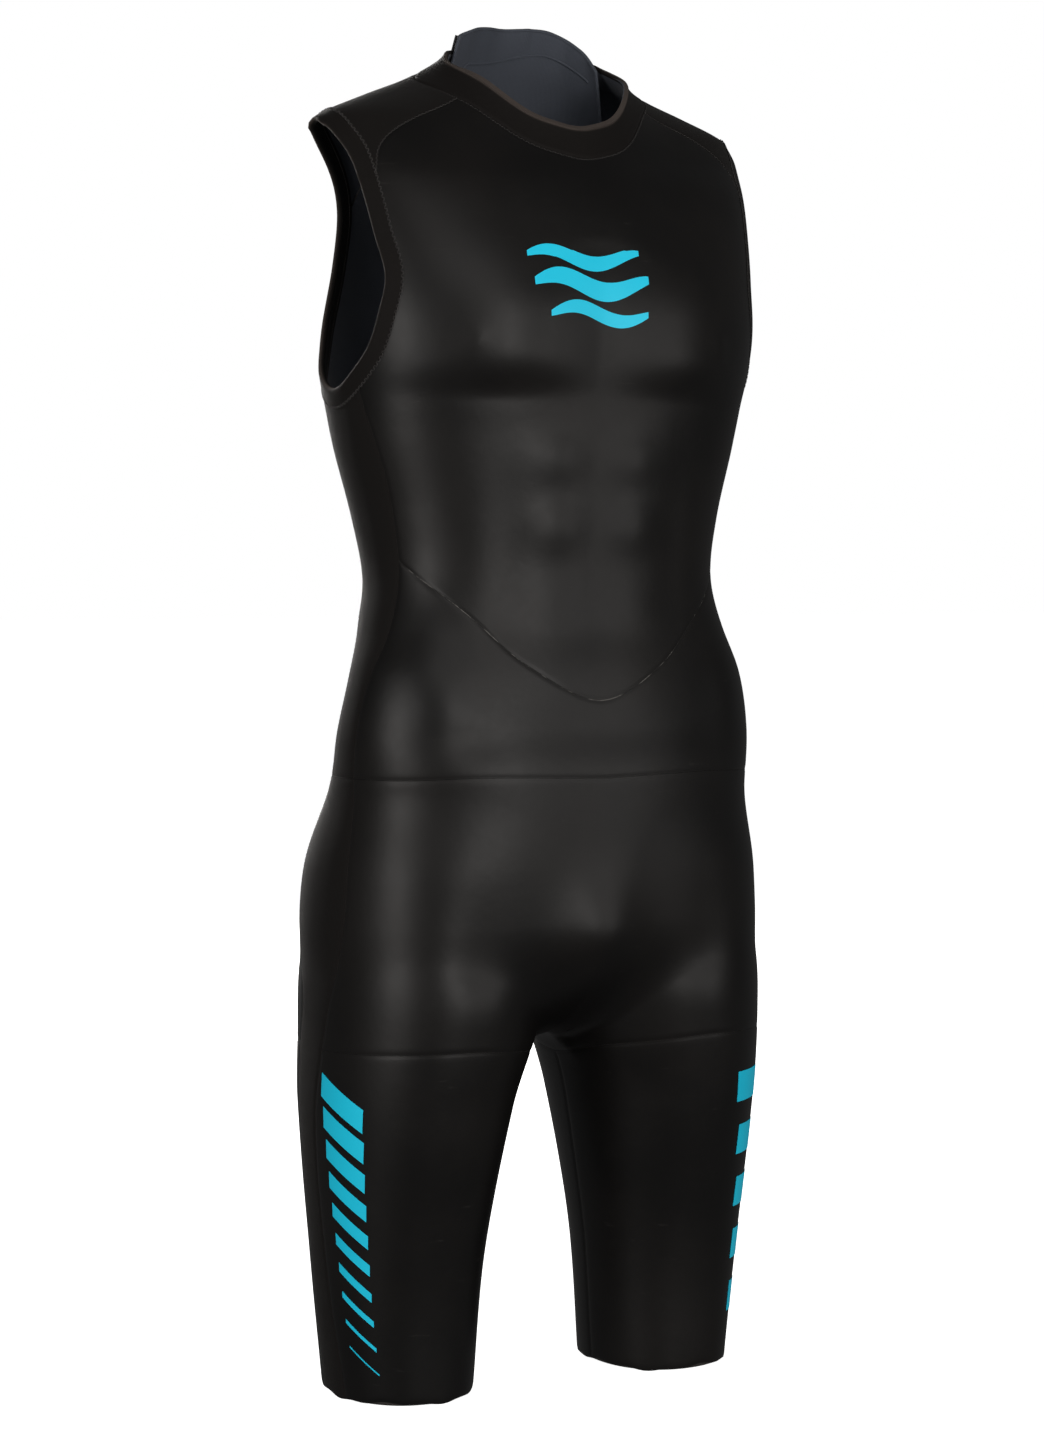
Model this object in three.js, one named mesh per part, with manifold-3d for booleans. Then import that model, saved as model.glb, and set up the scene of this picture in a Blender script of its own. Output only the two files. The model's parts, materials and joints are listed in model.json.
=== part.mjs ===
// A sleeveless, knee-length swimming wetsuit with a back zip, standing open in its worn shape.
// Millimetres, +Z up. The wearer faces -Y, so the wearer's left is +X and the zip is on +Y.
import * as THREE from "three";
import { mergeVertices } from "three/addons/utils/BufferGeometryUtils.js";
import Module from "manifold-3d";

const wasm = await Module();
wasm.setup();

// ---- lengths up the suit, each measured from the one before it ----
const legLength = 272; // hem to crotch
const seatLength = 194; // crotch to waist seam
const loinLength = 149; // waist seam to the narrow of the waist
const ribLength = 200; // narrow of the waist to the fullest chest
const yokeLength = 135; // fullest chest to the shoulder tip

// ---- breadths and depths of the form, from its middle plane ----
const hipHalf = 168;
const waistHalf = 140;
const chestHalf = 173;
const shoulderHalf = 179;
const neckHalf = 75;
const hipFront = 112;
const waistFront = 97;
const chestFront = 110;
const neckFront = 63;
const seatBack = 112;
const spineRadius = 610; // the back bends on this arc, and so does the zip
const spineDepth = 98; // how far the arc stands behind the middle plane
const spineAboveWaist = 165; // height of the arc's centre over the narrow of the waist
const legSpread = 113; // middle plane to the middle of a knee
const kneeHalf = 56;
const thighHalf = 86;

// ---- cloth, seams and fittings ----
const neoprene = 4;
const jersey = 3;
const seamGap = 0.3; // left between panels that meet
const bindingWidth = 14;
const bindingThick = 5.2;
const armholeDrop = 202; // shoulder tip to the bottom of the armhole
const collarFront = 23;
const collarBack = 34;
const zipHalfGap = 14; // half the opening that the zip fills
const chainSlot = 1.3; // half the slot between the two rows of teeth
const chainWidth = 2;
const chainThick = 3;
const tapeThick = 1;
const underflapHalf = 24;
const underflapThick = 2;
const sliderHalf = 6;
const sliderLength = 15;
const sliderPlate = 1.4;
const zipLength = 424;
const zipAboveWaistSeam = 92; // bottom of the zip over the waist seam
const pullLength = 34;
const pullHalf = 3.6;
const pullLean = 9; // degrees the hanging pull stands off the back
const tabHeight = 24;
const patchThick = 1;

const crotch = legLength;
const waistSeam = crotch + seatLength;
const waist = waistSeam + loinLength;
const chest = waist + ribLength;
const shoulder = chest + yokeLength;
const zipBottom = waistSeam + zipAboveWaistSeam;
const radians = Math.PI / 180;
const vec = (x, y, z) => new THREE.Vector3(x, y, z);
const mix = THREE.MathUtils.lerp;

// ---- the worn form, as a field that is negative inside ----

// A smooth curve through [height, value] points, level beyond its ends.
function profile(points) {
  const last = points.length - 1;
  const slopes = points.map((_, i) => {
    const a = points[Math.max(i - 1, 0)];
    const b = points[Math.min(i + 1, last)];
    return (b[1] - a[1]) / (b[0] - a[0]);
  });
  return (height) => {
    const z = THREE.MathUtils.clamp(height, points[0][0], points[last][0]);
    let i = 0;
    while (i < last - 1 && z > points[i + 1][0]) i += 1;
    const span = points[i + 1][0] - points[i][0];
    const t = (z - points[i][0]) / span;
    const ease = t * t * (3 - 2 * t);
    const bend = slopes[i] * t * (1 - t) ** 2 - slopes[i + 1] * t * t * (1 - t);
    return points[i][1] * (1 - ease) + points[i + 1][1] * ease + span * bend;
  };
}

const spineHeight = waist + spineAboveWaist;
const spineCentre = vec(0, spineDepth - spineRadius, spineHeight);
function spineY(height) {
  const rise = THREE.MathUtils.clamp(height - spineHeight, -0.45 * spineRadius, 0.48 * spineRadius);
  return spineCentre.y + Math.sqrt(spineRadius ** 2 - rise ** 2);
}

const halfWidth = profile([
  [crotch - 10, 20],
  [crotch + 8, 0.5 * hipHalf],
  [mix(crotch, waistSeam, 0.25), 0.88 * hipHalf],
  [mix(crotch, waistSeam, 0.45), hipHalf + 2],
  [waistSeam, hipHalf],
  [mix(waistSeam, waist, 0.23), hipHalf],
  [mix(waistSeam, waist, 0.5), mix(waistHalf, hipHalf, 0.75)],
  [mix(waistSeam, waist, 0.74), mix(waistHalf, hipHalf, 0.32)],
  [waist, waistHalf],
  [mix(waist, chest, 0.22), mix(waistHalf, chestHalf, 0.18)],
  [mix(waist, chest, 0.52), mix(waistHalf, chestHalf, 0.64)],
  [mix(waist, chest, 0.88), chestHalf],
  [mix(chest, shoulder, 0.33), chestHalf + 1],
  [mix(chest, shoulder, 0.67), shoulderHalf - 2],
  [shoulder - 18, shoulderHalf],
  [shoulder - 4, shoulderHalf - 2],
  [shoulder + 6, shoulderHalf - 8],
  [shoulder + 19, mix(neckHalf, shoulderHalf, 0.65)],
  [shoulder + 34, mix(neckHalf, shoulderHalf, 0.29)],
  [shoulder + 48, neckHalf - 9],
  [shoulder + 60, neckHalf - 50],
]);
const frontDepth = profile([
  [crotch - 10, 10],
  [crotch + 8, 0.45 * hipFront],
  [mix(crotch, waistSeam, 0.25), 0.8 * hipFront],
  [mix(crotch, waistSeam, 0.45), hipFront - 6],
  [waistSeam, hipFront],
  [mix(waistSeam, waist, 0.25), mix(waistFront, hipFront, 0.6)],
  [mix(waistSeam, waist, 0.7), waistFront - 1],
  [waist, waistFront],
  [mix(waist, chest, 0.5), mix(waistFront, chestFront, 0.5)],
  [mix(waist, chest, 0.87), chestFront],
  [mix(chest, shoulder, 0.18), chestFront - 2],
  [mix(chest, shoulder, 0.4), chestFront - 9],
  [mix(chest, shoulder, 0.67), chestFront - 26],
  [shoulder - 20, neckFront + 1],
  [shoulder, neckFront - 15],
  [shoulder + 19, neckFront - 31],
  [shoulder + 34, neckFront - 45],
  [shoulder + 60, neckFront - 67],
]);
const spineFoot = zipBottom - 14; // the back keeps to the arc above this height
const backDepth = profile([
  [crotch - 10, 20],
  [crotch + 12, 0.45 * seatBack],
  [mix(crotch, waistSeam, 0.25), 0.82 * seatBack],
  [mix(crotch, waistSeam, 0.41), seatBack - 2],
  [mix(crotch, waistSeam, 0.61), seatBack],
  [mix(crotch, waistSeam, 0.87), mix(spineY(spineFoot), seatBack, 0.7)],
  [mix(waistSeam, spineFoot, 0.45), spineY(spineFoot) + 12],
  ...[0, 1, 2, 3, 4, 5, 6, 7, 8, 9, 10].map((i) => {
    const height = mix(spineFoot, shoulder + 60, i / 10);
    return [height, spineY(height)];
  }),
]);
const roundness = profile([
  [crotch - 10, 2],
  [mix(crotch, waistSeam, 0.66), 2.3],
  [waist, 2.3],
  [chest, 2.45],
  [shoulder, 2.4],
  [shoulder + 50, 2],
]);
const neckWidth = profile([
  [shoulder - 70, neckHalf + 7],
  [shoulder, neckHalf + 4],
  [shoulder + 35, neckHalf],
  [shoulder + 85, neckHalf - 9],
]);
const neckDepth = profile([
  [shoulder - 70, neckFront + 23],
  [shoulder - 27, neckFront + 13],
  [shoulder, neckFront + 7],
  [shoulder + 35, neckFront],
  [shoulder + 85, neckFront - 1],
]);
const legMiddle = profile([
  [0, legSpread - 1],
  [0.4 * legLength, legSpread],
  [0.8 * legLength, legSpread - 6],
  [legLength, legSpread - 14],
  [legLength + 48, legSpread - 18],
  [legLength + 158, legSpread - 25],
]);
const legShift = profile([
  [0, 9],
  [0.8 * legLength, 6],
  [legLength, 3],
  [legLength + 130, 0],
]);
const legHalf = profile([
  [0, kneeHalf - 2],
  [0.22 * legLength, kneeHalf + 3],
  [0.4 * legLength, kneeHalf + 7],
  [0.59 * legLength, mix(kneeHalf, thighHalf, 0.43)],
  [0.8 * legLength, mix(kneeHalf, thighHalf, 0.67)],
  [legLength, thighHalf - 2],
  [legLength + 48, thighHalf],
  [legLength + 158, thighHalf - 10],
  [legLength + 228, thighHalf - 26],
]);
const legDepth = profile([
  [0, kneeHalf + 7],
  [0.22 * legLength, kneeHalf + 10],
  [0.4 * legLength, kneeHalf + 16],
  [0.59 * legLength, kneeHalf + 24],
  [0.8 * legLength, thighHalf + 4],
  [legLength, thighHalf + 12],
  [legLength + 48, thighHalf + 14],
  [legLength + 158, thighHalf + 2],
  [legLength + 228, thighHalf - 16],
]);

// Soft swells and hollows: sideways place, height, sideways and upright spread, lift; front or back.
const swells = [
  { x: 74, z: chest - 9, wide: 58, tall: 44, lift: 11, front: true },
  { x: 80, z: chest - 67, wide: 70, tall: 16, lift: -3, front: true },
  { x: 34, z: waist + 85, wide: 22, tall: 20, lift: 4, front: true },
  { x: 34, z: waist + 35, wide: 22, tall: 20, lift: 4, front: true },
  { x: 0, z: mix(waistSeam, waist, 0.55), wide: 80, tall: 34, lift: 4, front: true },
  { x: 0, z: crotch + 66, wide: 36, tall: 46, lift: 18, front: true },
  { x: 78, z: crotch + 80, wide: 62, tall: 62, lift: 12, front: false },
  { x: 80, z: chest + 35, wide: 40, tall: 62, lift: 6, front: false },
  { x: 108, z: 0.8 * legLength, wide: 46, tall: 90, lift: 5, front: true },
];

function smoothMin(a, b, blend) {
  const share = Math.max(blend - Math.abs(a - b), 0) / blend;
  return Math.min(a, b) - (share * share * blend) / 4;
}

// Distance-like value of an oval section of the given half width, front, back and roundness.
function oval(x, y, half, front, back, power) {
  const middle = (back - front) / 2;
  const deep = (back + front) / 2;
  const sum = Math.abs(x / half) ** power + Math.abs((y - middle) / deep) ** power;
  return ((sum + 1e-9) ** (1 / power) - 1) * Math.sqrt(half * deep);
}

function formField(x, y, z) {
  const trunk = oval(x, y, halfWidth(z), frontDepth(z), backDepth(z), roundness(z));
  const neck = oval(x, y, neckWidth(z), neckDepth(z), spineY(z), 2.1);
  const nape = THREE.MathUtils.smoothstep(y, 25, 58); // the nape keeps to the spine's arc
  const hips = Math.max(trunk, crotch - 10 - z);
  const upper = smoothMin(hips, Math.max(neck, shoulder - 70 - z), mix(34, 1, nape));
  const side = Math.abs(x);
  const leg = (middle) => {
    const front = legDepth(z) - legShift(z);
    const round = oval(middle, y, legHalf(z), front, legDepth(z) + legShift(z), 2.2);
    return -smoothMin(-round, legLength + 168 - z, 60);
  };
  const nearLeg = leg(side - legMiddle(z));
  const farLeg = leg(side + legMiddle(z));
  let value = smoothMin(smoothMin(upper, nearLeg, 40), farLeg, 30);
  for (const swell of swells) {
    const across = ((side - swell.x) / swell.wide) ** 2 + ((z - swell.z) / swell.tall) ** 2;
    const facing = 1 / (1 + Math.exp(((swell.front ? 1 : -1) * y) / 12));
    value -= swell.lift * Math.exp(-across) * facing;
  }
  return value;
}

function slopeOf(p) {
  const e = 0.4;
  return vec(
    formField(p.x + e, p.y, p.z) - formField(p.x - e, p.y, p.z),
    formField(p.x, p.y + e, p.z) - formField(p.x, p.y - e, p.z),
    formField(p.x, p.y, p.z + e) - formField(p.x, p.y, p.z - e),
  ).divideScalar(2 * e);
}

// The nearest point of the form's surface, found by stepping along the field's slope.
function ontoForm(point) {
  const p = point.clone();
  for (let step = 0; step < 8; step += 1) {
    const slope = slopeOf(p);
    const move = formField(p.x, p.y, p.z) / slope.lengthSq();
    p.addScaledVector(slope, -THREE.MathUtils.clamp(move, -12, 12));
  }
  return p;
}

// Where a level ray from (x, y) leaves the form: 0 degrees looks out of the front, 90 out of the left.
function outward(x, y, height, angle) {
  const dx = Math.sin(angle * radians);
  const dy = -Math.cos(angle * radians);
  const value = (reach) => formField(x + dx * reach, y + dy * reach, height);
  let inside = 0;
  while (value(inside + 3) < 0) inside += 3;
  let outside = inside + 3;
  for (let step = 0; step < 20; step += 1) {
    const reach = (inside + outside) / 2;
    if (value(reach) < 0) inside = reach;
    else outside = reach;
  }
  return vec(x + dx * inside, y + dy * inside, height);
}
const onTrunk = (angle, height) =>
  outward(0, (backDepth(height) - frontDepth(height)) / 2, height, angle);
const onNeck = (angle, height) =>
  outward(0, (spineY(height) - neckDepth(height)) / 2, height, angle);
const onLeg = (angle, height) => outward(legMiddle(height), legShift(height), height, angle);

// ---- seams: lists of points on the form, drawn on the wearer's left and mirrored ----

const mirrored = (points) => points.map((p) => vec(-p.x, p.y, p.z));
const reversed = (points) => [...points].reverse();
const chain = (...runs) => runs.flatMap((run, i) => (i ? run.slice(1) : run));

// Evenly spaced points along a curve between two of its parameters.
function spaced(curve, from, to, count) {
  const fine = 240;
  const trail = [];
  for (let i = 0; i <= fine; i += 1) trail.push(curve.getPoint(mix(from, to, i / fine)));
  const run = [0];
  for (let i = 1; i <= fine; i += 1) run.push(run[i - 1] + trail[i].distanceTo(trail[i - 1]));
  const points = [];
  for (let k = 0; k <= count; k += 1) {
    const goal = (run[fine] * k) / count;
    let i = 0;
    while (i < fine - 1 && run[i + 1] < goal) i += 1;
    points.push(trail[i].clone().lerp(trail[i + 1], (goal - run[i]) / (run[i + 1] - run[i])));
  }
  return points;
}

function seam(points, count) {
  const curve = new THREE.CatmullRomCurve3(points, false, "centripetal");
  return spaced(curve, 0, 1, count).map(ontoForm);
}

// The armhole's edge as [angle, height over the shoulder tip], then its seam, a binding's width out.
const armholeEdge = [
  [90, 3],
  [79, -27],
  [76.5, -50],
  [73, -90],
  [70, -119],
  [71.5, -144],
  [78, 28 - armholeDrop],
  [92, -armholeDrop],
  [103, 28 - armholeDrop],
  [115, -140],
  [118, -100],
  [113, -58],
  [104, -28],
].map(([angle, rise]) => onTrunk(angle, shoulder + rise));
const armholeCurve = new THREE.CatmullRomCurve3(armholeEdge, true, "centripetal");
// Where the front, bottom, back and top runs of the edge begin, as places in the list above.
const armholeMarks = [2, 6.45, 7.55, 11, 15].map((mark) => mark / armholeEdge.length);
const armholeCounts = [6, 3, 6, 4];
const armholeRuns = armholeCounts.map((count, i) =>
  spaced(armholeCurve, armholeMarks[i], armholeMarks[i + 1], count).map(ontoForm),
);

// Points moved sideways over the form, away from the opening's middle.
function besideEdge(run, previous, next, distance) {
  const all = [previous, ...run, next];
  return run.map((p, i) => {
    const along = all[i + 2].clone().sub(all[i]);
    const side = along.cross(slopeOf(p)).normalize();
    return ontoForm(p.clone().addScaledVector(side, distance));
  });
}
const armholeSeams = armholeRuns.map((run, i) => {
  const before = armholeRuns[(i + 3) % 4];
  const after = armholeRuns[(i + 1) % 4];
  return besideEdge(run, before[before.length - 2], after[1], bindingWidth);
});
const [armFront, armBottom, armBack, armTop] = armholeSeams;

// The collar's base runs low at the throat and high at the nape.
const collarBase = profile([
  [0, shoulder - 27],
  [30, shoulder - 15],
  [64, shoulder + 15],
  [90, shoulder + 33],
  [116, shoulder + 46],
  [180, shoulder + 48],
]);
const collarRise = (angle) => mix(collarFront, collarBack, (angle / 180) ** 2);
const yokeFrontAngle = 68;
const yokeBackAngle = 128;
const zipSideAngle = 180 - Math.asin(zipHalfGap / neckHalf) / radians;
function collarRun(from, to, count, lift = () => 0) {
  const points = [];
  for (let i = 0; i <= count; i += 1) {
    const angle = mix(from, to, i / count);
    points.push(onNeck(angle, collarBase(Math.abs(angle)) + lift(Math.abs(angle))));
  }
  return points;
}
const collarThroat = collarRun(-yokeFrontAngle, yokeFrontAngle, 8);
const collarSide = collarRun(yokeFrontAngle, yokeBackAngle, 4);
const nape = onNeck(zipSideAngle, collarBase(zipSideAngle));
nape.x = zipHalfGap;
const collarNape = [...collarRun(yokeBackAngle, zipSideAngle, 3).slice(0, 3), ontoForm(nape)];

const yokeFront = seam(
  [collarSide[0], onTrunk(72, shoulder - 20), armFront[0]],
  4,
);
const yokeBack = seam([collarSide[4], onTrunk(122, shoulder - 2), armBack[6]], 4);

const bellyJoin = onTrunk(77, waist + 11);
const sideFrontUpper = seam([armFront[6], onTrunk(76, mix(waist, chest, 0.39)), bellyJoin], 5);
const waistFrontJoin = onTrunk(85, waistSeam);
const sideFrontLower = seam(
  [bellyJoin, onTrunk(80, waist - 45), onTrunk(85, mix(waistSeam, waist, 0.4)), waistFrontJoin],
  6,
);
const loinJoin = onTrunk(101, zipBottom - 24);
const waistBackJoin = onTrunk(101, waistSeam);
const sideBackUpper = seam(
  [armBack[0], onTrunk(104, mix(waist, chest, 0.39)), onTrunk(103, waist), loinJoin],
  8,
);
const sideBackLower = seam([loinJoin, waistBackJoin], 3);
const belly = seam(
  [
    mirrored([bellyJoin])[0],
    onTrunk(-54, waist - 34),
    onTrunk(-37, waist - 67),
    onTrunk(0, waist - 92),
    onTrunk(37, waist - 67),
    onTrunk(54, waist - 34),
    bellyJoin,
  ],
  16,
);
const waistFrontHalf = seam([onTrunk(0, waistSeam), onTrunk(45, waistSeam + 2), waistFrontJoin], 8);
const waistSide = seam([waistFrontJoin, waistBackJoin], 3);
const waistBackHalf = seam([onTrunk(180, waistSeam), onTrunk(140, waistSeam), waistBackJoin], 8);

const zipFoot = ontoForm(vec(zipHalfGap, spineY(zipBottom - 10), zipBottom - 10));
const zipSide = seam(
  [0, 1, 2, 3, 4].map((i) => {
    const z = mix(zipFoot.z, collarNape[3].z, i / 4);
    return vec(zipHalfGap, spineY(z), z);
  }),
  14,
).map((p) => vec(zipHalfGap, p.y, p.z));
zipSide[14] = collarNape[3];
const loin = seam([zipSide[0], onTrunk(140, zipBottom - 16), loinJoin], 7);
const zipEnd = seam([mirrored([zipSide[0]])[0], zipSide[0]], 2);

const thighFrontJoin = onLeg(82, crotch - 8);
const thighBackJoin = onLeg(112, crotch - 8);
const innerJoin = onLeg(-88, crotch - 24);
const crotchPoint = (() => {
  let outside = 0.6 * crotch;
  let inside = crotch + 60;
  for (let step = 0; step < 40; step += 1) {
    const height = (outside + inside) / 2;
    if (formField(0, 0, height) < 0) inside = height;
    else outside = height;
  }
  return vec(0, 0, inside);
})();
const hipFrontSeam = seam(
  [waistFrontJoin, onTrunk(78, crotch + 91), onLeg(76, crotch + 30), thighFrontJoin],
  10,
);
const hipBackSeam = seam(
  [waistBackJoin, onTrunk(108, crotch + 91), onLeg(108, crotch + 30), thighBackJoin],
  10,
);
const legFrontSeam = seam(
  [thighFrontJoin, onLeg(88, 0.76 * legLength), onLeg(84, 0.4 * legLength), onLeg(70, 0)],
  10,
);
const legBackSeam = seam(
  [thighBackJoin, onLeg(116, 0.76 * legLength), onLeg(114, 0.4 * legLength), onLeg(110, 0)],
  10,
);
const inseam = seam(
  [innerJoin, onLeg(-90, 0.6 * legLength), onLeg(-90, 0.25 * legLength), onLeg(-90, 0)],
  10,
);
const innerTop = seam([innerJoin, crotchPoint], 2);
const flyLine = seam(
  [crotchPoint, onTrunk(0, crotch + 28), onTrunk(0, crotch + 66), onTrunk(0, waistSeam)],
  8,
).map((p) => vec(0, p.y, p.z));
const seatLine = seam(
  [crotchPoint, onTrunk(180, crotch + 28), onTrunk(180, crotch + 66), onTrunk(180, waistSeam)],
  8,
).map((p) => vec(0, p.y, p.z));
const thighFrontSeam = seam(
  [innerJoin, onLeg(-45, crotch - 12), onLeg(0, crotch - 4), onLeg(45, crotch - 6), thighFrontJoin],
  8,
);
const thighBackSeam = seam(
  [innerJoin, onLeg(-135, crotch - 12), onLeg(180, crotch - 4), onLeg(140, crotch - 6), thighBackJoin],
  8,
);
const hemRun = (from, to, count) => {
  const points = [];
  for (let i = 0; i <= count; i += 1) points.push(onLeg(mix(from, to, i / count), 0));
  return points;
};
const hemFront = hemRun(-90, 70, 8);
const hemBack = hemRun(-90, -250, 8);
const hemSide = hemRun(70, 110, 3);

// ---- panels: patches of cloth between four runs of seam ----

// A grid of points blended from its four sides and then laid on the form.
function patch(bottom, right, top, left) {
  const across = bottom.length - 1;
  const up = left.length - 1;
  const grid = [];
  for (let j = 0; j <= up; j += 1) {
    const v = j / up;
    const row = [];
    for (let i = 0; i <= across; i += 1) {
      const u = i / across;
      const edges = bottom[i].clone().lerp(top[i], v).add(left[j].clone().lerp(right[j], u));
      const low = bottom[0].clone().lerp(bottom[across], u);
      const high = top[0].clone().lerp(top[across], u);
      const p = edges.sub(low.lerp(high, v));
      const rim = i === 0 || j === 0 || i === across || j === up;
      row.push(rim ? p : ontoForm(p));
    }
    grid.push(row);
  }
  return grid;
}

// Quads of one or more patches as triangles over welded points, facing away from the form.
function weld(grids) {
  const points = [];
  const places = new Map();
  const index = (p) => {
    const key = [p.x, p.y, p.z].map((c) => Math.round(c * 50)).join();
    if (!places.has(key)) places.set(key, points.push(p) - 1);
    return places.get(key);
  };
  const triangles = [];
  for (const grid of grids) {
    const made = [];
    let facing = 0;
    for (let j = 0; j + 1 < grid.length; j += 1) {
      for (let i = 0; i + 1 < grid[0].length; i += 1) {
        const [a, b, c, d] = [grid[j][i], grid[j][i + 1], grid[j + 1][i + 1], grid[j + 1][i]];
        const short = a.distanceTo(c) < b.distanceTo(d);
        made.push(...(short ? [[a, b, c], [a, c, d]] : [[a, b, d], [b, c, d]]));
        facing += c.clone().sub(a).cross(d.clone().sub(b)).dot(slopeOf(a));
      }
    }
    for (const [a, b, c] of made) triangles.push((facing < 0 ? [a, c, b] : [a, b, c]).map(index));
  }
  return { points, triangles };
}

// Each rim point's two neighbours along the rim.
function rimOf(triangles) {
  const directed = new Map();
  for (const [a, b, c] of triangles) {
    for (const [from, to] of [[a, b], [b, c], [c, a]]) directed.set(`${from},${to}`, [from, to]);
  }
  const rim = [...directed.values()].filter(([from, to]) => !directed.has(`${to},${from}`));
  const after = new Map(rim);
  const before = new Map(rim.map(([from, to]) => [to, from]));
  return { rim, after, before };
}

// A sheet between two depths under the form, drawn back from its rim by half the seam gap.
function sheet(grids, outer, inner, levelRim = false, gap = seamGap / 2) {
  const { points, triangles } = weld(grids);
  const { rim, after, before } = rimOf(triangles);
  const normals = points.map((p) => {
    const n = slopeOf(p);
    if (levelRim && p.z < 0.5) n.z = 0;
    if (Math.abs(p.x) < 0.01) n.x = 0;
    return n.normalize();
  });
  const drawn = points.map((p, i) => {
    if (!after.has(i)) return p;
    const n = normals[i];
    const one = n.clone().cross(p.clone().sub(points[before.get(i)])).normalize();
    const two = n.clone().cross(points[after.get(i)].clone().sub(p)).normalize();
    const mitre = one.clone().add(two).divideScalar(Math.max(1 + one.dot(two), 0.4));
    return p.clone().addScaledVector(mitre, gap);
  });
  const at = (depth) => drawn.map((p, i) => p.clone().addScaledVector(normals[i], -depth(p)));
  const corners = [...at(outer), ...at(inner)];
  const count = points.length;
  const faces = triangles.flatMap(([a, b, c]) => [[a, b, c], [a + count, c + count, b + count]]);
  for (const [from, to] of rim) {
    const [a, b] = [points[from], points[to]];
    const rising = a.z + 0.3 * a.x + 0.1 * a.y < b.z + 0.3 * b.x + 0.1 * b.y;
    if (rising) faces.push([to, from, from + count], [to, from + count, to + count]);
    else faces.push([to, from, to + count], [from, from + count, to + count]);
  }
  return solid(corners, faces);
}

// A closed body from its corners and triangles, turned to face outwards.
function solid(corners, faces) {
  let volume = 0;
  for (const [a, b, c] of faces) {
    volume += corners[a].dot(vec().crossVectors(corners[b], corners[c]));
  }
  if (volume < 0) faces.forEach((face) => face.reverse());
  const geometry = new THREE.BufferGeometry();
  geometry.setAttribute(
    "position",
    new THREE.Float32BufferAttribute(corners.flatMap((p) => [p.x, p.y, p.z]), 3),
  );
  geometry.setIndex(faces.flat());
  geometry.computeVertexNormals();
  return geometry;
}

// Rings of points joined one to the next, closed at both ends by the flat outline's triangles.
function loft(rings, outline) {
  const size = rings[0].length;
  const faces = [];
  for (let j = 0; j + 1 < rings.length; j += 1) {
    for (let i = 0; i < size; i += 1) {
      const next = (i + 1) % size;
      const [a, b] = [j * size + i, j * size + next];
      faces.push([a, b, b + size], [a, b + size, a + size]);
    }
  }
  const flat = outline.map(([u, v]) => new THREE.Vector2(u, v));
  const end = (rings.length - 1) * size;
  const turned = THREE.ShapeUtils.isClockWise(flat) ? 1 : -1;
  for (const [a, b, c] of THREE.ShapeUtils.triangulateShape(flat, [])) {
    const low = turned > 0 ? [a, b, c] : [a, c, b];
    faces.push(low, [...low].reverse().map((i) => i + end));
  }
  return solid(rings.flat(), faces);
}

// A plain closed mesh as a manifold solid, and back.
function toManifold(geometry) {
  const bare = geometry.clone();
  bare.deleteAttribute("normal");
  bare.deleteAttribute("uv");
  const merged = mergeVertices(bare, 1e-4);
  return new wasm.Manifold(
    new wasm.Mesh({
      numProp: 3,
      vertProperties: merged.attributes.position.array,
      triVerts: new Uint32Array(merged.index.array),
    }),
  );
}
function fromManifold(made) {
  const mesh = made.getMesh();
  const geometry = new THREE.BufferGeometry();
  geometry.setAttribute("position", new THREE.BufferAttribute(mesh.vertProperties, 3));
  geometry.setIndex(new THREE.BufferAttribute(mesh.triVerts, 1));
  geometry.computeVertexNormals();
  return geometry;
}

const even = (depth) => () => depth;
const flipped = (grid) => grid.map((row) => mirrored(row));

const suitBlack = { color: 0x17161a, roughness: 0.42, metalness: 0 };
const jerseyBlack = { color: 0x1b1a1d, roughness: 0.85, metalness: 0 };
const liningGrey = { color: 0x4a4e57, roughness: 0.9, metalness: 0 };
const tapeBlack = { color: 0x101012, roughness: 0.8, metalness: 0 };
const zipPlastic = { color: 0x1c1c1f, roughness: 0.4, metalness: 0 };
const zipMetal = { color: 0x8c8f94, roughness: 0.3, metalness: 0.9 };

const suit = new THREE.Group();
function add(name, geometry, finish) {
  const mesh = new THREE.Mesh(geometry, new THREE.MeshStandardMaterial(finish));
  mesh.name = name;
  suit.add(mesh);
  return mesh;
}
const panel = (name, grids, finish, thick = neoprene, level = false) =>
  add(name, sheet(grids, even(0), even(thick), level), finish);
function pair(name, grid, finish, thick = neoprene, level = false) {
  panel(`left_${name}`, [grid], finish, thick, level);
  panel(`right_${name}`, [flipped(grid)], finish, thick, level);
}

function addFront() {
  const left = chain(armFront, sideFrontUpper);
  const top = chain(reversed(mirrored(yokeFront)), collarThroat, yokeFront);
  panel("chest_panel", [patch(belly, reversed(left), top, reversed(mirrored(left)))], suitBlack);
  const waistLine = chain(reversed(mirrored(waistFrontHalf)), waistFrontHalf);
  const side = reversed(sideFrontLower);
  panel("abdomen_panel", [patch(waistLine, side, belly, mirrored(side))], suitBlack);
  const inner = chain(innerTop, flyLine);
  const hip = patch(thighFrontSeam, reversed(hipFrontSeam), waistFrontHalf, inner);
  panel("front_hip_panel", [hip, flipped(hip)], suitBlack);
}

function addBack() {
  const top = chain(reversed(collarNape), yokeBack);
  const down = chain(reversed(armBack), sideBackUpper); // the armhole's back run climbs
  pair("back_panel", patch(loin, reversed(down), top, zipSide), suitBlack);
  const loinLine = chain(reversed(mirrored(loin)), zipEnd, loin);
  const waistLine = chain(reversed(mirrored(waistBackHalf)), waistBackHalf);
  const side = reversed(sideBackLower);
  panel("lower_back_panel", [patch(waistLine, side, loinLine, mirrored(side))], suitBlack);
  const inner = chain(innerTop, seatLine);
  const seat = patch(thighBackSeam, reversed(hipBackSeam), waistBackHalf, inner);
  panel("seat_panel", [seat, flipped(seat)], suitBlack);
}

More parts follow.
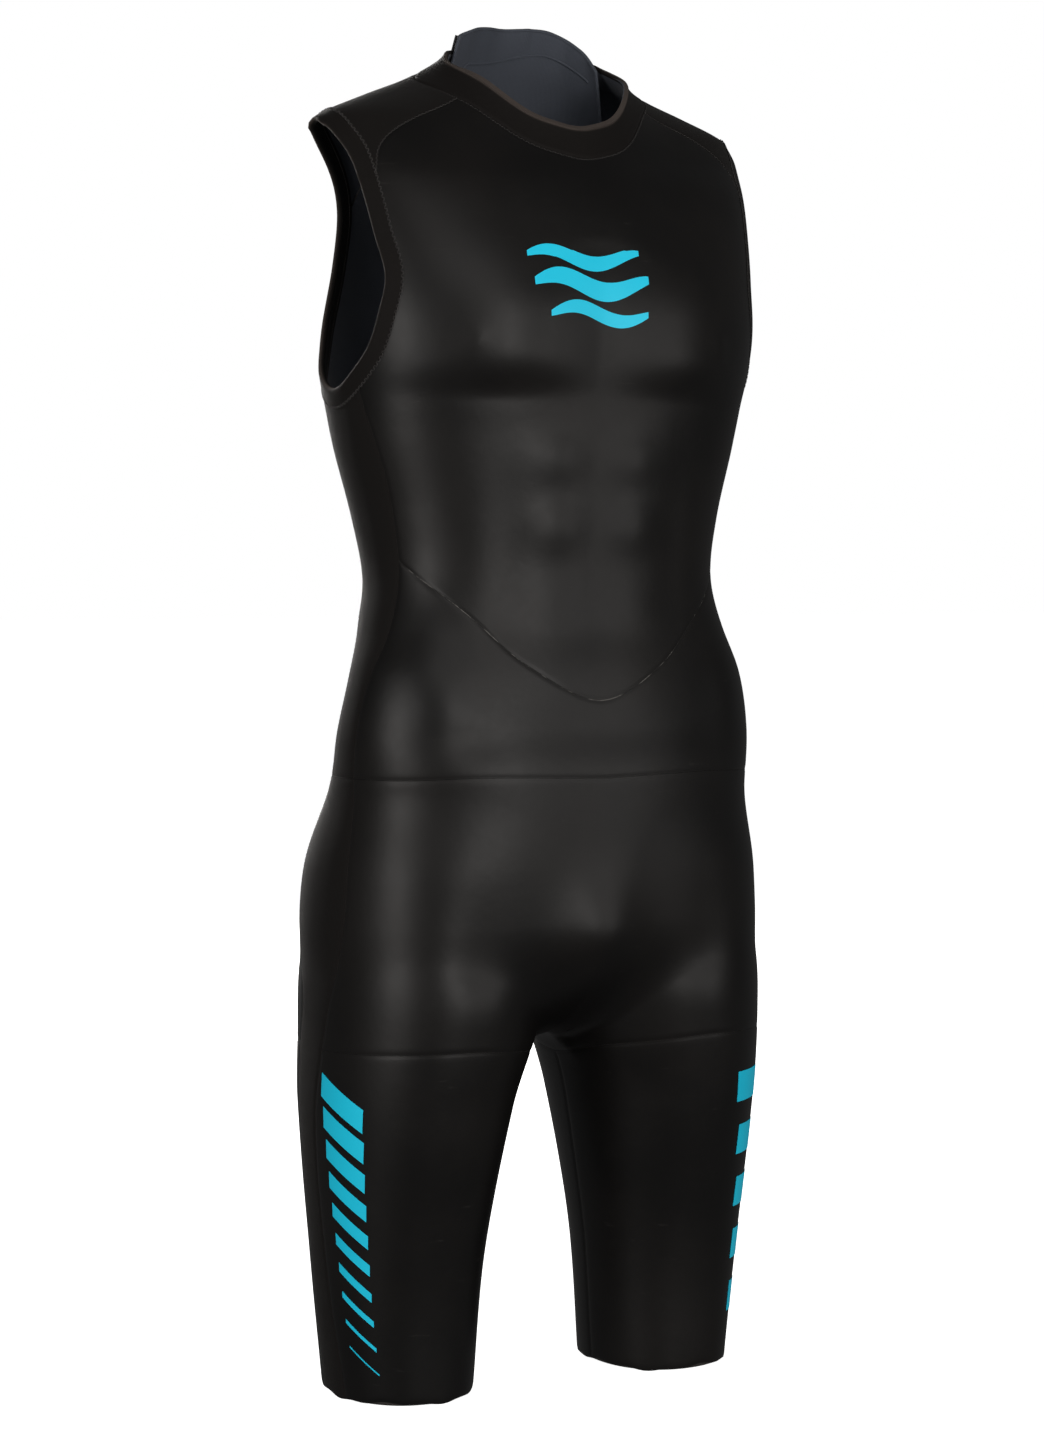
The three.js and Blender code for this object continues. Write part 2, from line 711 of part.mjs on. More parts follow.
function addSides() {
  const front = chain(sideFrontUpper, sideFrontLower);
  const back = chain(sideBackUpper, sideBackLower);
  pair("side_panel", patch(waistSide, reversed(back), armBottom, reversed(front)), jerseyBlack);
  const yoke = patch(yokeFront, reversed(armTop), yokeBack, collarSide);
  pair("shoulder_panel", yoke, jerseyBlack, jersey);
}

function addLegs() {
  const front = chain(hipFrontSeam, legFrontSeam);
  const back = chain(hipBackSeam, legBackSeam);
  const side = patch(hemSide, reversed(back), waistSide, reversed(front));
  pair("leg_side_panel", side, jerseyBlack, neoprene, true);
  const thigh = patch(hemFront, reversed(legFrontSeam), thighFrontSeam, reversed(inseam));
  pair("front_thigh_panel", thigh, suitBlack, neoprene, true);
  const ham = patch(hemBack, reversed(legBackSeam), thighBackSeam, reversed(inseam));
  pair("back_thigh_panel", ham, suitBlack, neoprene, true);
}

// ---- armhole bindings and collar ----

function addBindings() {
  const edge = chain(...armholeRuns);
  const outside = chain(...armholeSeams);
  const over = -(bindingThick - neoprene) / 2; // the binding stands proud of both faces
  for (const [side, turn] of [["left", (run) => run], ["right", mirrored]]) {
    const ring = [turn(edge), turn(outside)];
    const band = sheet([ring], even(over), even(bindingThick + over), false, seamGap);
    add(`${side}_armhole_binding`, band, jerseyBlack);
  }
}

function addCollar() {
  const half = (lift) => {
    const side = collarRun(yokeFrontAngle, yokeBackAngle, 4, lift);
    const napeRun = collarRun(yokeBackAngle, zipSideAngle, 3, lift);
    napeRun[3].x = zipHalfGap;
    return chain(side, napeRun);
  };
  const low = chain(collarSide, collarNape);
  const high = half(collarRise);
  const base = chain(reversed(mirrored(low)), collarThroat, low);
  const throatTop = collarRun(-yokeFrontAngle, yokeFrontAngle, 8, collarRise);
  const top = chain(reversed(mirrored(high)), throatTop, high);
  const ends = [base, top].map((run) => [run[0], run[run.length - 1]]);
  const left = seam([ends[0][0], ends[1][0]], 4).map((p) => vec(-zipHalfGap, p.y, p.z));
  panel("collar_band", [patch(base, mirrored(left), top, left)], suitBlack);
}

// The guard inside the nape, a curved sheet between two depths under the neck's oval.
const guardStart = 104; // degrees round the neck, where its free edges stand
const guardEnd = 238;
const guardTop = profile([
  [guardStart, shoulder + 54],
  [122, shoulder + 71],
  [150, shoulder + 84],
  [185, shoulder + 84],
  [212, shoulder + 81],
  [guardEnd, shoulder + 64],
]);
const guardFoot = shoulder + 24;
const guardDepth = neoprene + 1;
function addNeckGuard() {
  const wall = (angle, z, depth) => {
    const middle = (spineY(z) - neckDepth(z)) / 2;
    const deep = (spineY(z) + neckDepth(z)) / 2 - depth;
    const half = neckWidth(z) - depth;
    return vec(half * Math.sin(angle * radians), middle - deep * Math.cos(angle * radians), z);
  };
  const rings = [];
  const steps = 14;
  for (let i = 0; i <= steps; i += 1) {
    const angle = mix(guardStart, guardEnd, i / steps);
    const column = [0, 1, 2, 3].map((k) => mix(guardFoot, guardTop(angle), k / 3));
    const outer = column.map((z) => wall(angle, z, guardDepth));
    const inner = column.map((z) => wall(angle, z, guardDepth + jersey));
    rings.push([...outer, ...reversed(inner)]);
  }
  const outline = [[0, 0], [0, 1], [0, 2], [0, 3], [1, 3], [1, 2], [1, 1], [1, 0]];
  add("neck_inner_flap", loft(rings, outline), liningGrey);
}

// The closure over the nape: each piece is a curved block between two offsets outside the collar.
const tabRootAngle = 152; // degrees round the neck
const tabTipAngle = 214;
const loopAngles = [193, 230];
const hookAngles = [194, 212];
const tabFoot = collarBase(180) + (collarBack - tabHeight) / 2;
function neckBlock(from, to, steps, low, high, near, thick) {
  const rings = [];
  for (let i = 0; i <= steps; i += 1) {
    const angle = mix(from, to, i / steps);
    const at = (z, offset) => {
      const p = onNeck(angle, z);
      const n = slopeOf(p).setZ(0).normalize();
      return p.addScaledVector(n, offset);
    };
    const rows = [low, (low + high) / 2, high];
    const inner = rows.map((z) => at(z, near(angle)));
    const outer = rows.map((z) => at(z, near(angle) + thick));
    rings.push([...inner, ...reversed(outer)]);
  }
  return loft(rings, [[0, 0], [0, 1], [0, 2], [1, 2], [1, 1], [1, 0]]);
}
const patchGap = 2 * seamGap;
const tabRest = 3 * patchGap + 2 * patchThick; // how far the tab stands off over its patches
const tabStand = (angle) => mix(patchGap, tabRest, THREE.MathUtils.smoothstep(angle, 160, 184));
function addClosure() {
  const tabTop = tabFoot + tabHeight;
  const tab = neckBlock(tabRootAngle, tabTipAngle, 12, tabFoot, tabTop, tabStand, jersey);
  add("collar_closure_tab", tab, jerseyBlack);
  const [low, high] = [tabFoot + 1, tabTop - 1];
  const loop = neckBlock(...loopAngles, 8, low, high, () => patchGap, patchThick);
  add("closure_loop_patch", loop, tapeBlack);
  const hookOff = 2 * patchGap + patchThick;
  const hook = neckBlock(...hookAngles, 4, low, high, () => hookOff, patchThick);
  add("closure_hook_patch", hook, tapeBlack);
}

// ---- the zip, on the spine's arc ----

const bendAt = (height) => Math.asin((height - spineHeight) / spineRadius);
const zipTop = zipBottom + zipLength;
const sliderRest = zipTop - sliderLength / 2 - 0.6;

// A section of [sideways, outward] points carried along the arc between two heights.
function alongSpine(section, from, to, steps) {
  const rings = [];
  for (let i = 0; i <= steps; i += 1) {
    const bend = mix(bendAt(from), bendAt(to), i / steps);
    const ring = section.map(([x, out]) => {
      const reach = spineRadius + out;
      return vec(x, spineCentre.y + reach * Math.cos(bend), spineHeight + reach * Math.sin(bend));
    });
    rings.push(ring);
  }
  return loft(rings, section);
}
const block = (x0, x1, out0, out1) => [[x0, out0], [x1, out0], [x1, out1], [x0, out1]];
const chainOut = 0.4; // the teeth stand this far proud of the back
const chainIn = chainOut - chainThick;
const stopRange = [chainIn - 0.3, chainOut + 0.3]; // a little fuller than the teeth
const tapeOut = -0.6;
const tapeInner = chainSlot + chainWidth + seamGap;

function addZipRows() {
  for (const [side, way] of [["left", 1], ["right", -1]]) {
    const tape = block(way * tapeInner, way * (zipHalfGap - seamGap), tapeOut - tapeThick, tapeOut);
    const tapeFoot = zipBottom - 10 + seamGap;
    add(`${side}_zip_tape`, alongSpine(tape, tapeFoot, collarBase(180) - 1, 14), tapeBlack);
    const teeth = block(way * chainSlot, way * (chainSlot + chainWidth), chainIn, chainOut);
    add(`${side}_zip_chain`, alongSpine(teeth, zipBottom, zipTop, 14), zipPlastic);
    const stop = block(way * chainSlot, way * (chainSlot + chainWidth), ...stopRange);
    add(`${side}_zip_top_stop`, alongSpine(stop, zipTop + seamGap, zipTop + 4, 1), zipMetal);
  }
  const reach = chainSlot + chainWidth;
  const foot = block(-reach, reach, ...stopRange);
  add("zip_bottom_stop", alongSpine(foot, zipBottom - 5, zipBottom - seamGap, 1), zipMetal);
}

function addUnderflap() {
  const heights = [zipSide[0].z - 6, ...zipSide.slice(0, 14).map((p) => p.z)];
  const grid = heights.map((z) =>
    [-underflapHalf, -zipHalfGap, zipHalfGap, underflapHalf].map((x) =>
      ontoForm(vec(x, spineY(z), z)),
    ),
  );
  const depth = neoprene + 0.9;
  add("zip_underflap", sheet([grid], even(depth), even(depth + underflapThick)), liningGrey);
}

// The slider's frame: out of the back, and down along the zip.
const restBend = bendAt(sliderRest);
const sliderOut = vec(0, Math.cos(restBend), Math.sin(restBend));
const sliderDown = vec(0, Math.sin(restBend), -Math.cos(restBend));
const sliderFrame = new THREE.Matrix4().makeBasis(vec(1, 0, 0), sliderDown, sliderOut);
const plateTop = chainOut + 0.35 + sliderPlate;
const lugHole = 1.25;
const barHalf = 0.6;
const lugCentre = plateTop + lugHole + 0.3;
const lugWall = 0.8;
function placed(geometry, out) {
  const origin = spineCentre.clone().addScaledVector(sliderOut, spineRadius + out);
  return geometry.applyMatrix4(sliderFrame.clone().setPosition(origin));
}

function addSlider() {
  const plateLow = chainIn - 0.3;
  const post = chainSlot - seamGap;
  const under = sliderHalf - 0.6;
  const section = [
    [-sliderHalf, plateTop - sliderPlate],
    [-sliderHalf, plateTop],
    [sliderHalf, plateTop],
    [sliderHalf, plateTop - sliderPlate],
    [post, plateTop - sliderPlate],
    [post, plateLow],
    [under, plateLow],
    [under, plateLow - sliderPlate + 0.2],
    [-under, plateLow - sliderPlate + 0.2],
    [-under, plateLow],
    [-post, plateLow],
    [-post, plateTop - sliderPlate],
  ];
  const half = sliderLength / 2;
  const plates = alongSpine(section, sliderRest - half, sliderRest + half, 4);
  // the lug is drawn from the side: down the zip across the page, out of the back up the page
  const reach = lugHole + lugWall;
  const arch = new THREE.Shape();
  arch.moveTo(-reach, -lugCentre + plateTop - 0.4);
  arch.lineTo(reach, -lugCentre + plateTop - 0.4);
  arch.lineTo(reach, 0);
  arch.absarc(0, 0, reach, 0, Math.PI, false);
  arch.closePath();
  const hole = new THREE.Path();
  hole.absarc(0, 0, lugHole, 0, 2 * Math.PI, true);
  arch.holes.push(hole);
  const lug = new THREE.ExtrudeGeometry(arch, { depth: 2.4, bevelEnabled: false, curveSegments: 10 });
  lug.translate(0, 0, -1.2).rotateY(Math.PI / 2).rotateX(Math.PI / 2);
  const body = toManifold(plates).add(toManifold(placed(lug, lugCentre)));
  add("zip_slider", fromManifold(body), zipMetal);
}

// A flat pull with a window at its top, whose top bar runs through the slider's lug.
function addPull() {
  const window = 1.9; // half width of the opening either side of the lug
  const drop = lugHole + lugWall + 2.2;
  const plate = new THREE.Shape();
  plate.moveTo(-pullHalf + 0.8, -barHalf);
  plate.lineTo(pullHalf - 0.8, -barHalf);
  plate.lineTo(pullHalf, 3);
  plate.lineTo(pullHalf, pullLength - 3);
  plate.quadraticCurveTo(pullHalf, pullLength, 0, pullLength);
  plate.quadraticCurveTo(-pullHalf, pullLength, -pullHalf, pullLength - 3);
  plate.lineTo(-pullHalf, 3);
  plate.closePath();
  const opening = new THREE.Path();
  opening.moveTo(-window, barHalf);
  opening.lineTo(-window, drop);
  opening.lineTo(window, drop);
  opening.lineTo(window, barHalf);
  opening.closePath();
  plate.holes.push(opening);
  const pull = new THREE.ExtrudeGeometry(plate, {
    depth: 2 * barHalf,
    bevelEnabled: false,
    curveSegments: 6,
  });
  pull.translate(0, 0, -barHalf).rotateX(pullLean * radians);
  add("zip_pull_tab", placed(pull, lugCentre), zipMetal);
}

addFront();
addBack();
addSides();
addLegs();
addBindings();
addCollar();
addNeckGuard();
addClosure();
addZipRows();
addUnderflap();
addSlider();
addPull();

// The part stands on its hems, over the middle of its own box.
const box = new THREE.Box3().setFromObject(suit);
suit.position.set(0, -(box.min.y + box.max.y) / 2, -box.min.z);
export default suit;
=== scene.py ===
# %% [markdown]
# # A sleeveless neoprene wetsuit, standing open in its worn shape
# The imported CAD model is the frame: it says where every panel, seam and fitting of the suit lies. This lesson
# builds the looks around it. Cloth panels are drawn again as fine curved sheets on the same body form, and
# the small metal parts of the zip keep their CAD shape. Lengths are worked out in millimetres, as a pattern
# maker would, and turned into metres when a mesh is made.

# %% Load the frame
import json
import math

import bmesh
import bpy
import numpy as np
from mathutils import Matrix, Vector

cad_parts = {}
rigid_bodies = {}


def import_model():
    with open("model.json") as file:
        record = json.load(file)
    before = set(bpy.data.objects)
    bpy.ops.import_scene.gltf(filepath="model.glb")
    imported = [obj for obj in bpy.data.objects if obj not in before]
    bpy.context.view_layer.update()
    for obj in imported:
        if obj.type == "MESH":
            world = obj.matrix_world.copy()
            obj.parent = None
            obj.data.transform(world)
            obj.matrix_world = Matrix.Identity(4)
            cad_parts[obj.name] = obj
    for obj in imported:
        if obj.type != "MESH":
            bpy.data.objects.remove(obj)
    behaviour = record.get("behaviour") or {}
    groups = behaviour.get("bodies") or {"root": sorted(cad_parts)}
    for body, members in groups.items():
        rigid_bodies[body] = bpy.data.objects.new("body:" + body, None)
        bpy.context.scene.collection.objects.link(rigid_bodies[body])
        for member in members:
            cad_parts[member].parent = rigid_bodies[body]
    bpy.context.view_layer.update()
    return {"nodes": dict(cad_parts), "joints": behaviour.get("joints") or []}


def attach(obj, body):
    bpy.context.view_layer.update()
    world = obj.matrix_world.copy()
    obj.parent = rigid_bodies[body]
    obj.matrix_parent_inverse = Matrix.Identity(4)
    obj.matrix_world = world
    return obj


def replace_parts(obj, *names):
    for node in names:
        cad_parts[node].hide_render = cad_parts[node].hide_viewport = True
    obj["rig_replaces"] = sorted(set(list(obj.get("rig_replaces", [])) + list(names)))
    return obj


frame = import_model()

MM = 0.001
REFINE = 8  # fine cells to one cell of the pattern

# %% [markdown]
# ## The worn form
# A wetsuit has no shape of its own until it is worn, so every panel is laid on one smooth body form. The form
# could be sculpted by hand, but a formula is easier to keep in step with the CAD: half widths and depths at a
# few heights, joined by smooth curves, give a field that is negative inside the body and zero on its skin.

# %% Sizes of the form
CROTCH, WAIST_SEAM, WAIST, CHEST, TIP = 272.0, 466.0, 615.0, 815.0, 950.0
HIP_HALF, WAIST_HALF, CHEST_HALF, TIP_HALF, NECK_HALF = 168.0, 140.0, 173.0, 179.0, 75.0
HIP_FRONT, WAIST_FRONT, CHEST_FRONT, NECK_FRONT, SEAT_BACK = 112.0, 97.0, 110.0, 63.0, 112.0
SPINE_RADIUS, SPINE_DEPTH, SPINE_HEIGHT = 610.0, 98.0, 780.0
LEG_SPREAD, KNEE_HALF, THIGH_HALF = 113.0, 56.0, 86.0
NEOPRENE, JERSEY, SEAM_GAP = 4.0, 3.0, 0.3
ZIP_FOOT, ZIP_TOP, ZIP_HALF = 558.0, 982.0, 14.0
ARMHOLE_DROP = 202.0
SPINE_Y = SPINE_DEPTH - SPINE_RADIUS
arc_centre = next(j for j in frame["joints"] if j["name"] == "zip_travel")["pos_m"]
SHIFT = np.array([0.0, arc_centre[1] / MM - SPINE_Y, arc_centre[2] / MM - SPINE_HEIGHT])
print("the form sits", SHIFT.round(2), "mm from the frame's origin")


def mix(a, b, share):
    """The value a share of the way from a to b."""
    return a + (b - a) * share


def smoothstep(value, low, high):
    """0 below low, 1 above high, and an even slope between."""
    t = np.clip((value - low) / (high - low), 0, 1)
    return t * t * (3 - 2 * t)


def profile(*points):
    """A smooth curve through (height, value) points, level beyond its ends."""
    z, v = np.array(points, float).T
    last = len(z) - 1
    low, high = np.maximum(np.arange(last + 1) - 1, 0), np.minimum(np.arange(last + 1) + 1, last)
    slope = (v[high] - v[low]) / (z[high] - z[low])

    def at(height):
        q = np.clip(height, z[0], z[-1])
        i = np.clip(np.searchsorted(z, q) - 1, 0, last - 1)
        span = z[i + 1] - z[i]
        t = (q - z[i]) / span
        ease = t * t * (3 - 2 * t)
        bend = slope[i] * t * (1 - t) ** 2 - slope[i + 1] * t * t * (1 - t)
        return v[i] * (1 - ease) + v[i + 1] * ease + span * bend

    return at


def spine_y(height):
    """How far back the spine's arc stands at a height."""
    rise = np.clip(height - SPINE_HEIGHT, -0.45 * SPINE_RADIUS, 0.48 * SPINE_RADIUS)
    return SPINE_Y + np.sqrt(SPINE_RADIUS**2 - rise**2)


# %% Curves of width and depth
hips = lambda share: mix(CROTCH, WAIST_SEAM, share)
loin = lambda share: mix(WAIST_SEAM, WAIST, share)
ribs = lambda share: mix(WAIST, CHEST, share)
yoke = lambda share: mix(CHEST, TIP, share)
half_width = profile(
    (CROTCH - 10, 20), (CROTCH + 8, 0.5 * HIP_HALF), (hips(0.25), 0.88 * HIP_HALF),
    (hips(0.45), HIP_HALF + 2), (WAIST_SEAM, HIP_HALF), (loin(0.23), HIP_HALF),
    (loin(0.5), mix(WAIST_HALF, HIP_HALF, 0.75)), (loin(0.74), mix(WAIST_HALF, HIP_HALF, 0.32)),
    (WAIST, WAIST_HALF), (ribs(0.22), mix(WAIST_HALF, CHEST_HALF, 0.18)),
    (ribs(0.52), mix(WAIST_HALF, CHEST_HALF, 0.64)), (ribs(0.88), CHEST_HALF),
    (yoke(0.33), CHEST_HALF + 1), (yoke(0.67), TIP_HALF - 2), (TIP - 18, TIP_HALF),
    (TIP - 4, TIP_HALF - 2), (TIP + 6, TIP_HALF - 8), (TIP + 19, mix(NECK_HALF, TIP_HALF, 0.65)),
    (TIP + 34, mix(NECK_HALF, TIP_HALF, 0.29)), (TIP + 48, NECK_HALF - 9), (TIP + 60, NECK_HALF - 50),
)
front_depth = profile(
    (CROTCH - 10, 10), (CROTCH + 8, 0.45 * HIP_FRONT), (hips(0.25), 0.8 * HIP_FRONT),
    (hips(0.45), HIP_FRONT - 6), (WAIST_SEAM, HIP_FRONT), (loin(0.25), mix(WAIST_FRONT, HIP_FRONT, 0.6)),
    (loin(0.7), WAIST_FRONT - 1), (WAIST, WAIST_FRONT), (ribs(0.5), mix(WAIST_FRONT, CHEST_FRONT, 0.5)),
    (ribs(0.87), CHEST_FRONT), (yoke(0.18), CHEST_FRONT - 2), (yoke(0.4), CHEST_FRONT - 9),
    (yoke(0.67), CHEST_FRONT - 26), (TIP - 20, NECK_FRONT + 1), (TIP, NECK_FRONT - 15),
    (TIP + 19, NECK_FRONT - 31), (TIP + 34, NECK_FRONT - 45), (TIP + 60, NECK_FRONT - 67),
)
SPINE_FOOT = ZIP_FOOT - 14
spine_marks = [mix(SPINE_FOOT, TIP + 60, i / 10) for i in range(11)]
back_depth = profile(
    (CROTCH - 10, 20), (CROTCH + 12, 0.45 * SEAT_BACK), (hips(0.25), 0.82 * SEAT_BACK),
    (hips(0.41), SEAT_BACK - 2), (hips(0.61), SEAT_BACK),
    (hips(0.87), mix(spine_y(SPINE_FOOT), SEAT_BACK, 0.7)),
    (mix(WAIST_SEAM, SPINE_FOOT, 0.45), spine_y(SPINE_FOOT) + 12),
    *[(height, spine_y(height)) for height in spine_marks],
)
roundness = profile(
    (CROTCH - 10, 2), (hips(0.66), 2.3), (WAIST, 2.3), (CHEST, 2.45), (TIP, 2.4), (TIP + 50, 2),
)
NECK_FOOT = TIP - 70
neck_width = profile(
    (NECK_FOOT, NECK_HALF + 7), (TIP, NECK_HALF + 4), (TIP + 35, NECK_HALF), (TIP + 85, NECK_HALF - 9),
)
neck_depth = profile(
    (NECK_FOOT, NECK_FRONT + 23), (TIP - 27, NECK_FRONT + 13), (TIP, NECK_FRONT + 7),
    (TIP + 35, NECK_FRONT), (TIP + 85, NECK_FRONT - 1),
)
leg_middle = profile(
    (0, LEG_SPREAD - 1), (0.4 * CROTCH, LEG_SPREAD), (0.8 * CROTCH, LEG_SPREAD - 6),
    (CROTCH, LEG_SPREAD - 14), (CROTCH + 48, LEG_SPREAD - 18), (CROTCH + 158, LEG_SPREAD - 25),
)
leg_shift = profile((0, 9), (0.8 * CROTCH, 6), (CROTCH, 3), (CROTCH + 130, 0))
leg_half = profile(
    (0, KNEE_HALF - 2), (0.22 * CROTCH, KNEE_HALF + 3), (0.4 * CROTCH, KNEE_HALF + 7),
    (0.59 * CROTCH, mix(KNEE_HALF, THIGH_HALF, 0.43)), (0.8 * CROTCH, mix(KNEE_HALF, THIGH_HALF, 0.67)),
    (CROTCH, THIGH_HALF - 2), (CROTCH + 48, THIGH_HALF), (CROTCH + 158, THIGH_HALF - 10),
    (CROTCH + 228, THIGH_HALF - 26),
)
leg_depth = profile(
    (0, KNEE_HALF + 7), (0.22 * CROTCH, KNEE_HALF + 10), (0.4 * CROTCH, KNEE_HALF + 16),
    (0.59 * CROTCH, KNEE_HALF + 24), (0.8 * CROTCH, THIGH_HALF + 4), (CROTCH, THIGH_HALF + 12),
    (CROTCH + 48, THIGH_HALF + 14), (CROTCH + 158, THIGH_HALF + 2), (CROTCH + 228, THIGH_HALF - 16),
)
print("waist", 2 * half_width(WAIST), "mm broad; chest", 2 * half_width(CHEST), "mm broad")

# %% [markdown]
# Foam rubber shows the muscles under it softly. Each swell or hollow is a round hump on the form, placed by
# its distance from the middle and its height. The first nine follow the CAD. The later ones are gentler and
# only bring out what such a suit shows: the fold under the chest, the rows of the belly and the hips' line.

# %% Swells, and the field itself
# Each row: sideways place, height, sideways spread, upright spread, lift, and front (1) or back (-1)
SWELLS = [
    (74, CHEST - 9, 58, 44, 11, 1), (78, CHEST - 67, 52, 10, -2.2, 1), (34, WAIST + 85, 22, 20, 4, 1),
    (34, WAIST + 35, 22, 20, 4, 1), (0, loin(0.55), 80, 34, 4, 1), (0, CROTCH + 66, 36, 46, 18, 1),
    (78, CROTCH + 80, 62, 62, 12, -1), (80, CHEST + 35, 40, 62, 6, -1), (108, 0.8 * CROTCH, 46, 90, 5, 1),
    (74, CHEST - 46, 51, 21, 5.8, 1), (104, CHEST - 29, 7, 7, 1.6, 1), (0, CHEST - 37, 15, 36, -1, 1),
    (34, WAIST - 23, 26, 20, 2, 1), (0, WAIST + 25, 11, 80, -0.8, 1), (70, WAIST + 25, 15, 60, -1.3, 1),
    (124, WAIST - 87, 20, 36, 3, 1), (100, WAIST_SEAM + 26, 24, 14, -1.5, 1),
    (26, WAIST - 70, 30, 28, 1.6, 1), (96, CROTCH + 66, 22, 40, -2, 1),
    (96, CROTCH + 28, 30, 24, 2, 1), (62, WAIST + 85, 16, 30, 1, 1), (96, WAIST + 25, 40, 60, 2, -1),
    (44, WAIST - 15, 16, 60, 1.5, -1), (0, CROTCH + 100, 7, 60, -7, -1),
]
MIDDLE_ROUNDING = 7  # keeps swells free of a crease on the middle line


def smooth_min(a, b, blend):
    """The smaller of two fields, rounded over where they cross."""
    share = np.maximum(blend - np.abs(a - b), 0) / blend
    return np.minimum(a, b) - share * share * blend / 4


def oval(x, y, half, front, back, power):
    """Distance-like value of a rounded oval section."""
    middle, deep = (back - front) / 2, (back + front) / 2
    total = np.abs(x / half) ** power + np.abs((y - middle) / deep) ** power
    return ((total + 1e-9) ** (1 / power) - 1) * np.sqrt(half * deep)


def form(p):
    """The body field at points p, in millimetres: negative inside."""
    x, y, z = p[..., 0], p[..., 1], p[..., 2]
    trunk = np.maximum(oval(x, y, half_width(z), front_depth(z), back_depth(z), roundness(z)), CROTCH - 2 - z)
    neck = np.maximum(oval(x, y, neck_width(z), neck_depth(z), spine_y(z), 2.1), NECK_FOOT - z)
    value = smooth_min(trunk, neck, mix(34, 1, smoothstep(y, 25, 58)))
    side, deep, shift = np.abs(x), leg_depth(z), leg_shift(z)
    for way, blend in ((-1, 30), (1, 12)):
        leg = oval(side + way * leg_middle(z), y, leg_half(z), deep - shift, deep + shift, 2.2)
        value = smooth_min(value, -smooth_min(-leg, CROTCH + 168 - z, 60), blend)
    front = 1 / (1 + np.exp(y / 12))
    aside = np.hypot(x, MIDDLE_ROUNDING)
    for place, height, wide, tall, lift, facing in SWELLS:
        hump = np.exp(-(((aside - place) / wide) ** 2) - ((z - height) / tall) ** 2)
        value = value - lift * hump * (front if facing > 0 else 1 - front)
    return value


def slope_of(p, step=0.4):
    """The field's slope at points p, which points straight out of the skin."""
    sides = [form(p + step * axis) - form(p - step * axis) for axis in np.eye(3)]
    return np.stack(sides, -1) / (2 * step)


def unit(v):
    """Vectors brought to length one."""
    return v / np.maximum(np.linalg.norm(v, axis=-1, keepdims=True), 1e-9)


def onto_form(p, steps=8):
    """The nearest points of the skin, found by stepping along the slope."""
    p = np.array(p, float)
    for _ in range(steps):
        slope = slope_of(p)
        move = form(p) / (slope * slope).sum(-1)
        p = p - slope * np.clip(move, -12, 12)[..., None]
    return p


def outward(x, y, height, angle):
    """Where level rays leave the form: 0 degrees looks out of the front, 90 out of the left side."""
    x, y, height, angle = np.broadcast_arrays(*(np.asarray(v, float) for v in (x, y, height, angle)))
    turn = np.radians(angle)
    start = np.stack([x, y, height], -1)
    way = np.stack([np.sin(turn), -np.cos(turn), 0 * turn], -1)
    stride, furthest = 3.0, 300.0
    reach = np.arange(stride, furthest, stride)
    trial = start[..., None, :] + reach[:, None] * way[..., None, :]
    outside = reach[np.argmax(form(trial) >= 0, -1)]
    inside = outside - stride
    for _ in range(14):
        middle = (inside + outside) / 2
        within = form(start + middle[..., None] * way) < 0
        inside, outside = np.where(within, middle, inside), np.where(within, outside, middle)
    return start + inside[..., None] * way


on_trunk = lambda angle, z: outward(0, (back_depth(z) - front_depth(z)) / 2, z, angle)
on_neck = lambda angle, z: outward(0, (spine_y(z) - neck_depth(z)) / 2, z, angle)
on_leg = lambda angle, z: outward(leg_middle(z), leg_shift(z), z, angle)
print("front of the waist at y", round(float(on_trunk(0, WAIST)[1]), 1), "mm")

# %% [markdown]
# ## Seams
# A pattern maker draws seams first and cuts panels between them. Each seam here is a smooth curve through a
# few points, laid on the form and cut into even steps. The wearer's left half is drawn, and mirrored for the
# right.

# %% Seam tools
mirrored = lambda run: run * np.array([-1.0, 1.0, 1.0])
chain = lambda *runs: np.vstack([run if i == 0 else run[1:] for i, run in enumerate(runs)])


def spaced(knots, count, closed=False, start=0.0, end=1.0, trail_points=241):
    """Evenly spaced points on a centripetal curve through the knots."""
    knots = np.array(knots, float)
    size = len(knots)
    place = (size if closed else size - 1) * np.linspace(start, end, trail_points)
    if closed:
        first = np.floor(place).astype(int)
        share = (place - first)[:, None]
        p0, p1, p2, p3 = (knots[(first + k) % size] for k in (-1, 0, 1, 2))
    else:
        padded = np.vstack([2 * knots[0] - knots[1], knots, 2 * knots[-1] - knots[-2]])
        first = np.minimum(np.floor(place).astype(int), size - 2)
        share = (place - first)[:, None]
        p0, p1, p2, p3 = (padded[first + k] for k in range(4))
    gap = lambda a, b: np.maximum(((a - b) ** 2).sum(-1, keepdims=True) ** 0.25, 1e-4)
    d0, d1, d2 = gap(p0, p1), gap(p1, p2), gap(p2, p3)
    t1 = ((p1 - p0) / d0 - (p2 - p0) / (d0 + d1) + (p2 - p1) / d1) * d1
    t2 = ((p2 - p1) / d1 - (p3 - p1) / (d1 + d2) + (p3 - p2) / d2) * d1
    trail = (
        p1 + t1 * share + (-3 * p1 + 3 * p2 - 2 * t1 - t2) * share**2
        + (2 * p1 - 2 * p2 + t1 + t2) * share**3
    )
    run = np.concatenate([[0], np.cumsum(np.linalg.norm(np.diff(trail, axis=0), axis=1))])
    goal = np.linspace(0, run[-1], count + 1)
    return np.stack([np.interp(goal, run, trail[:, k]) for k in range(3)], -1)


def seam(knots, count):
    """A seam through the knots, laid on the form, in count pattern cells."""
    return onto_form(spaced(knots, count * REFINE))


def beside(run, before, after, distance):
    """Points moved sideways over the form, away from the middle of a closed edge."""
    line = np.vstack([before, run, after])
    side = unit(np.cross(line[2:] - line[:-2], slope_of(run)))
    return onto_form(run + side * distance)


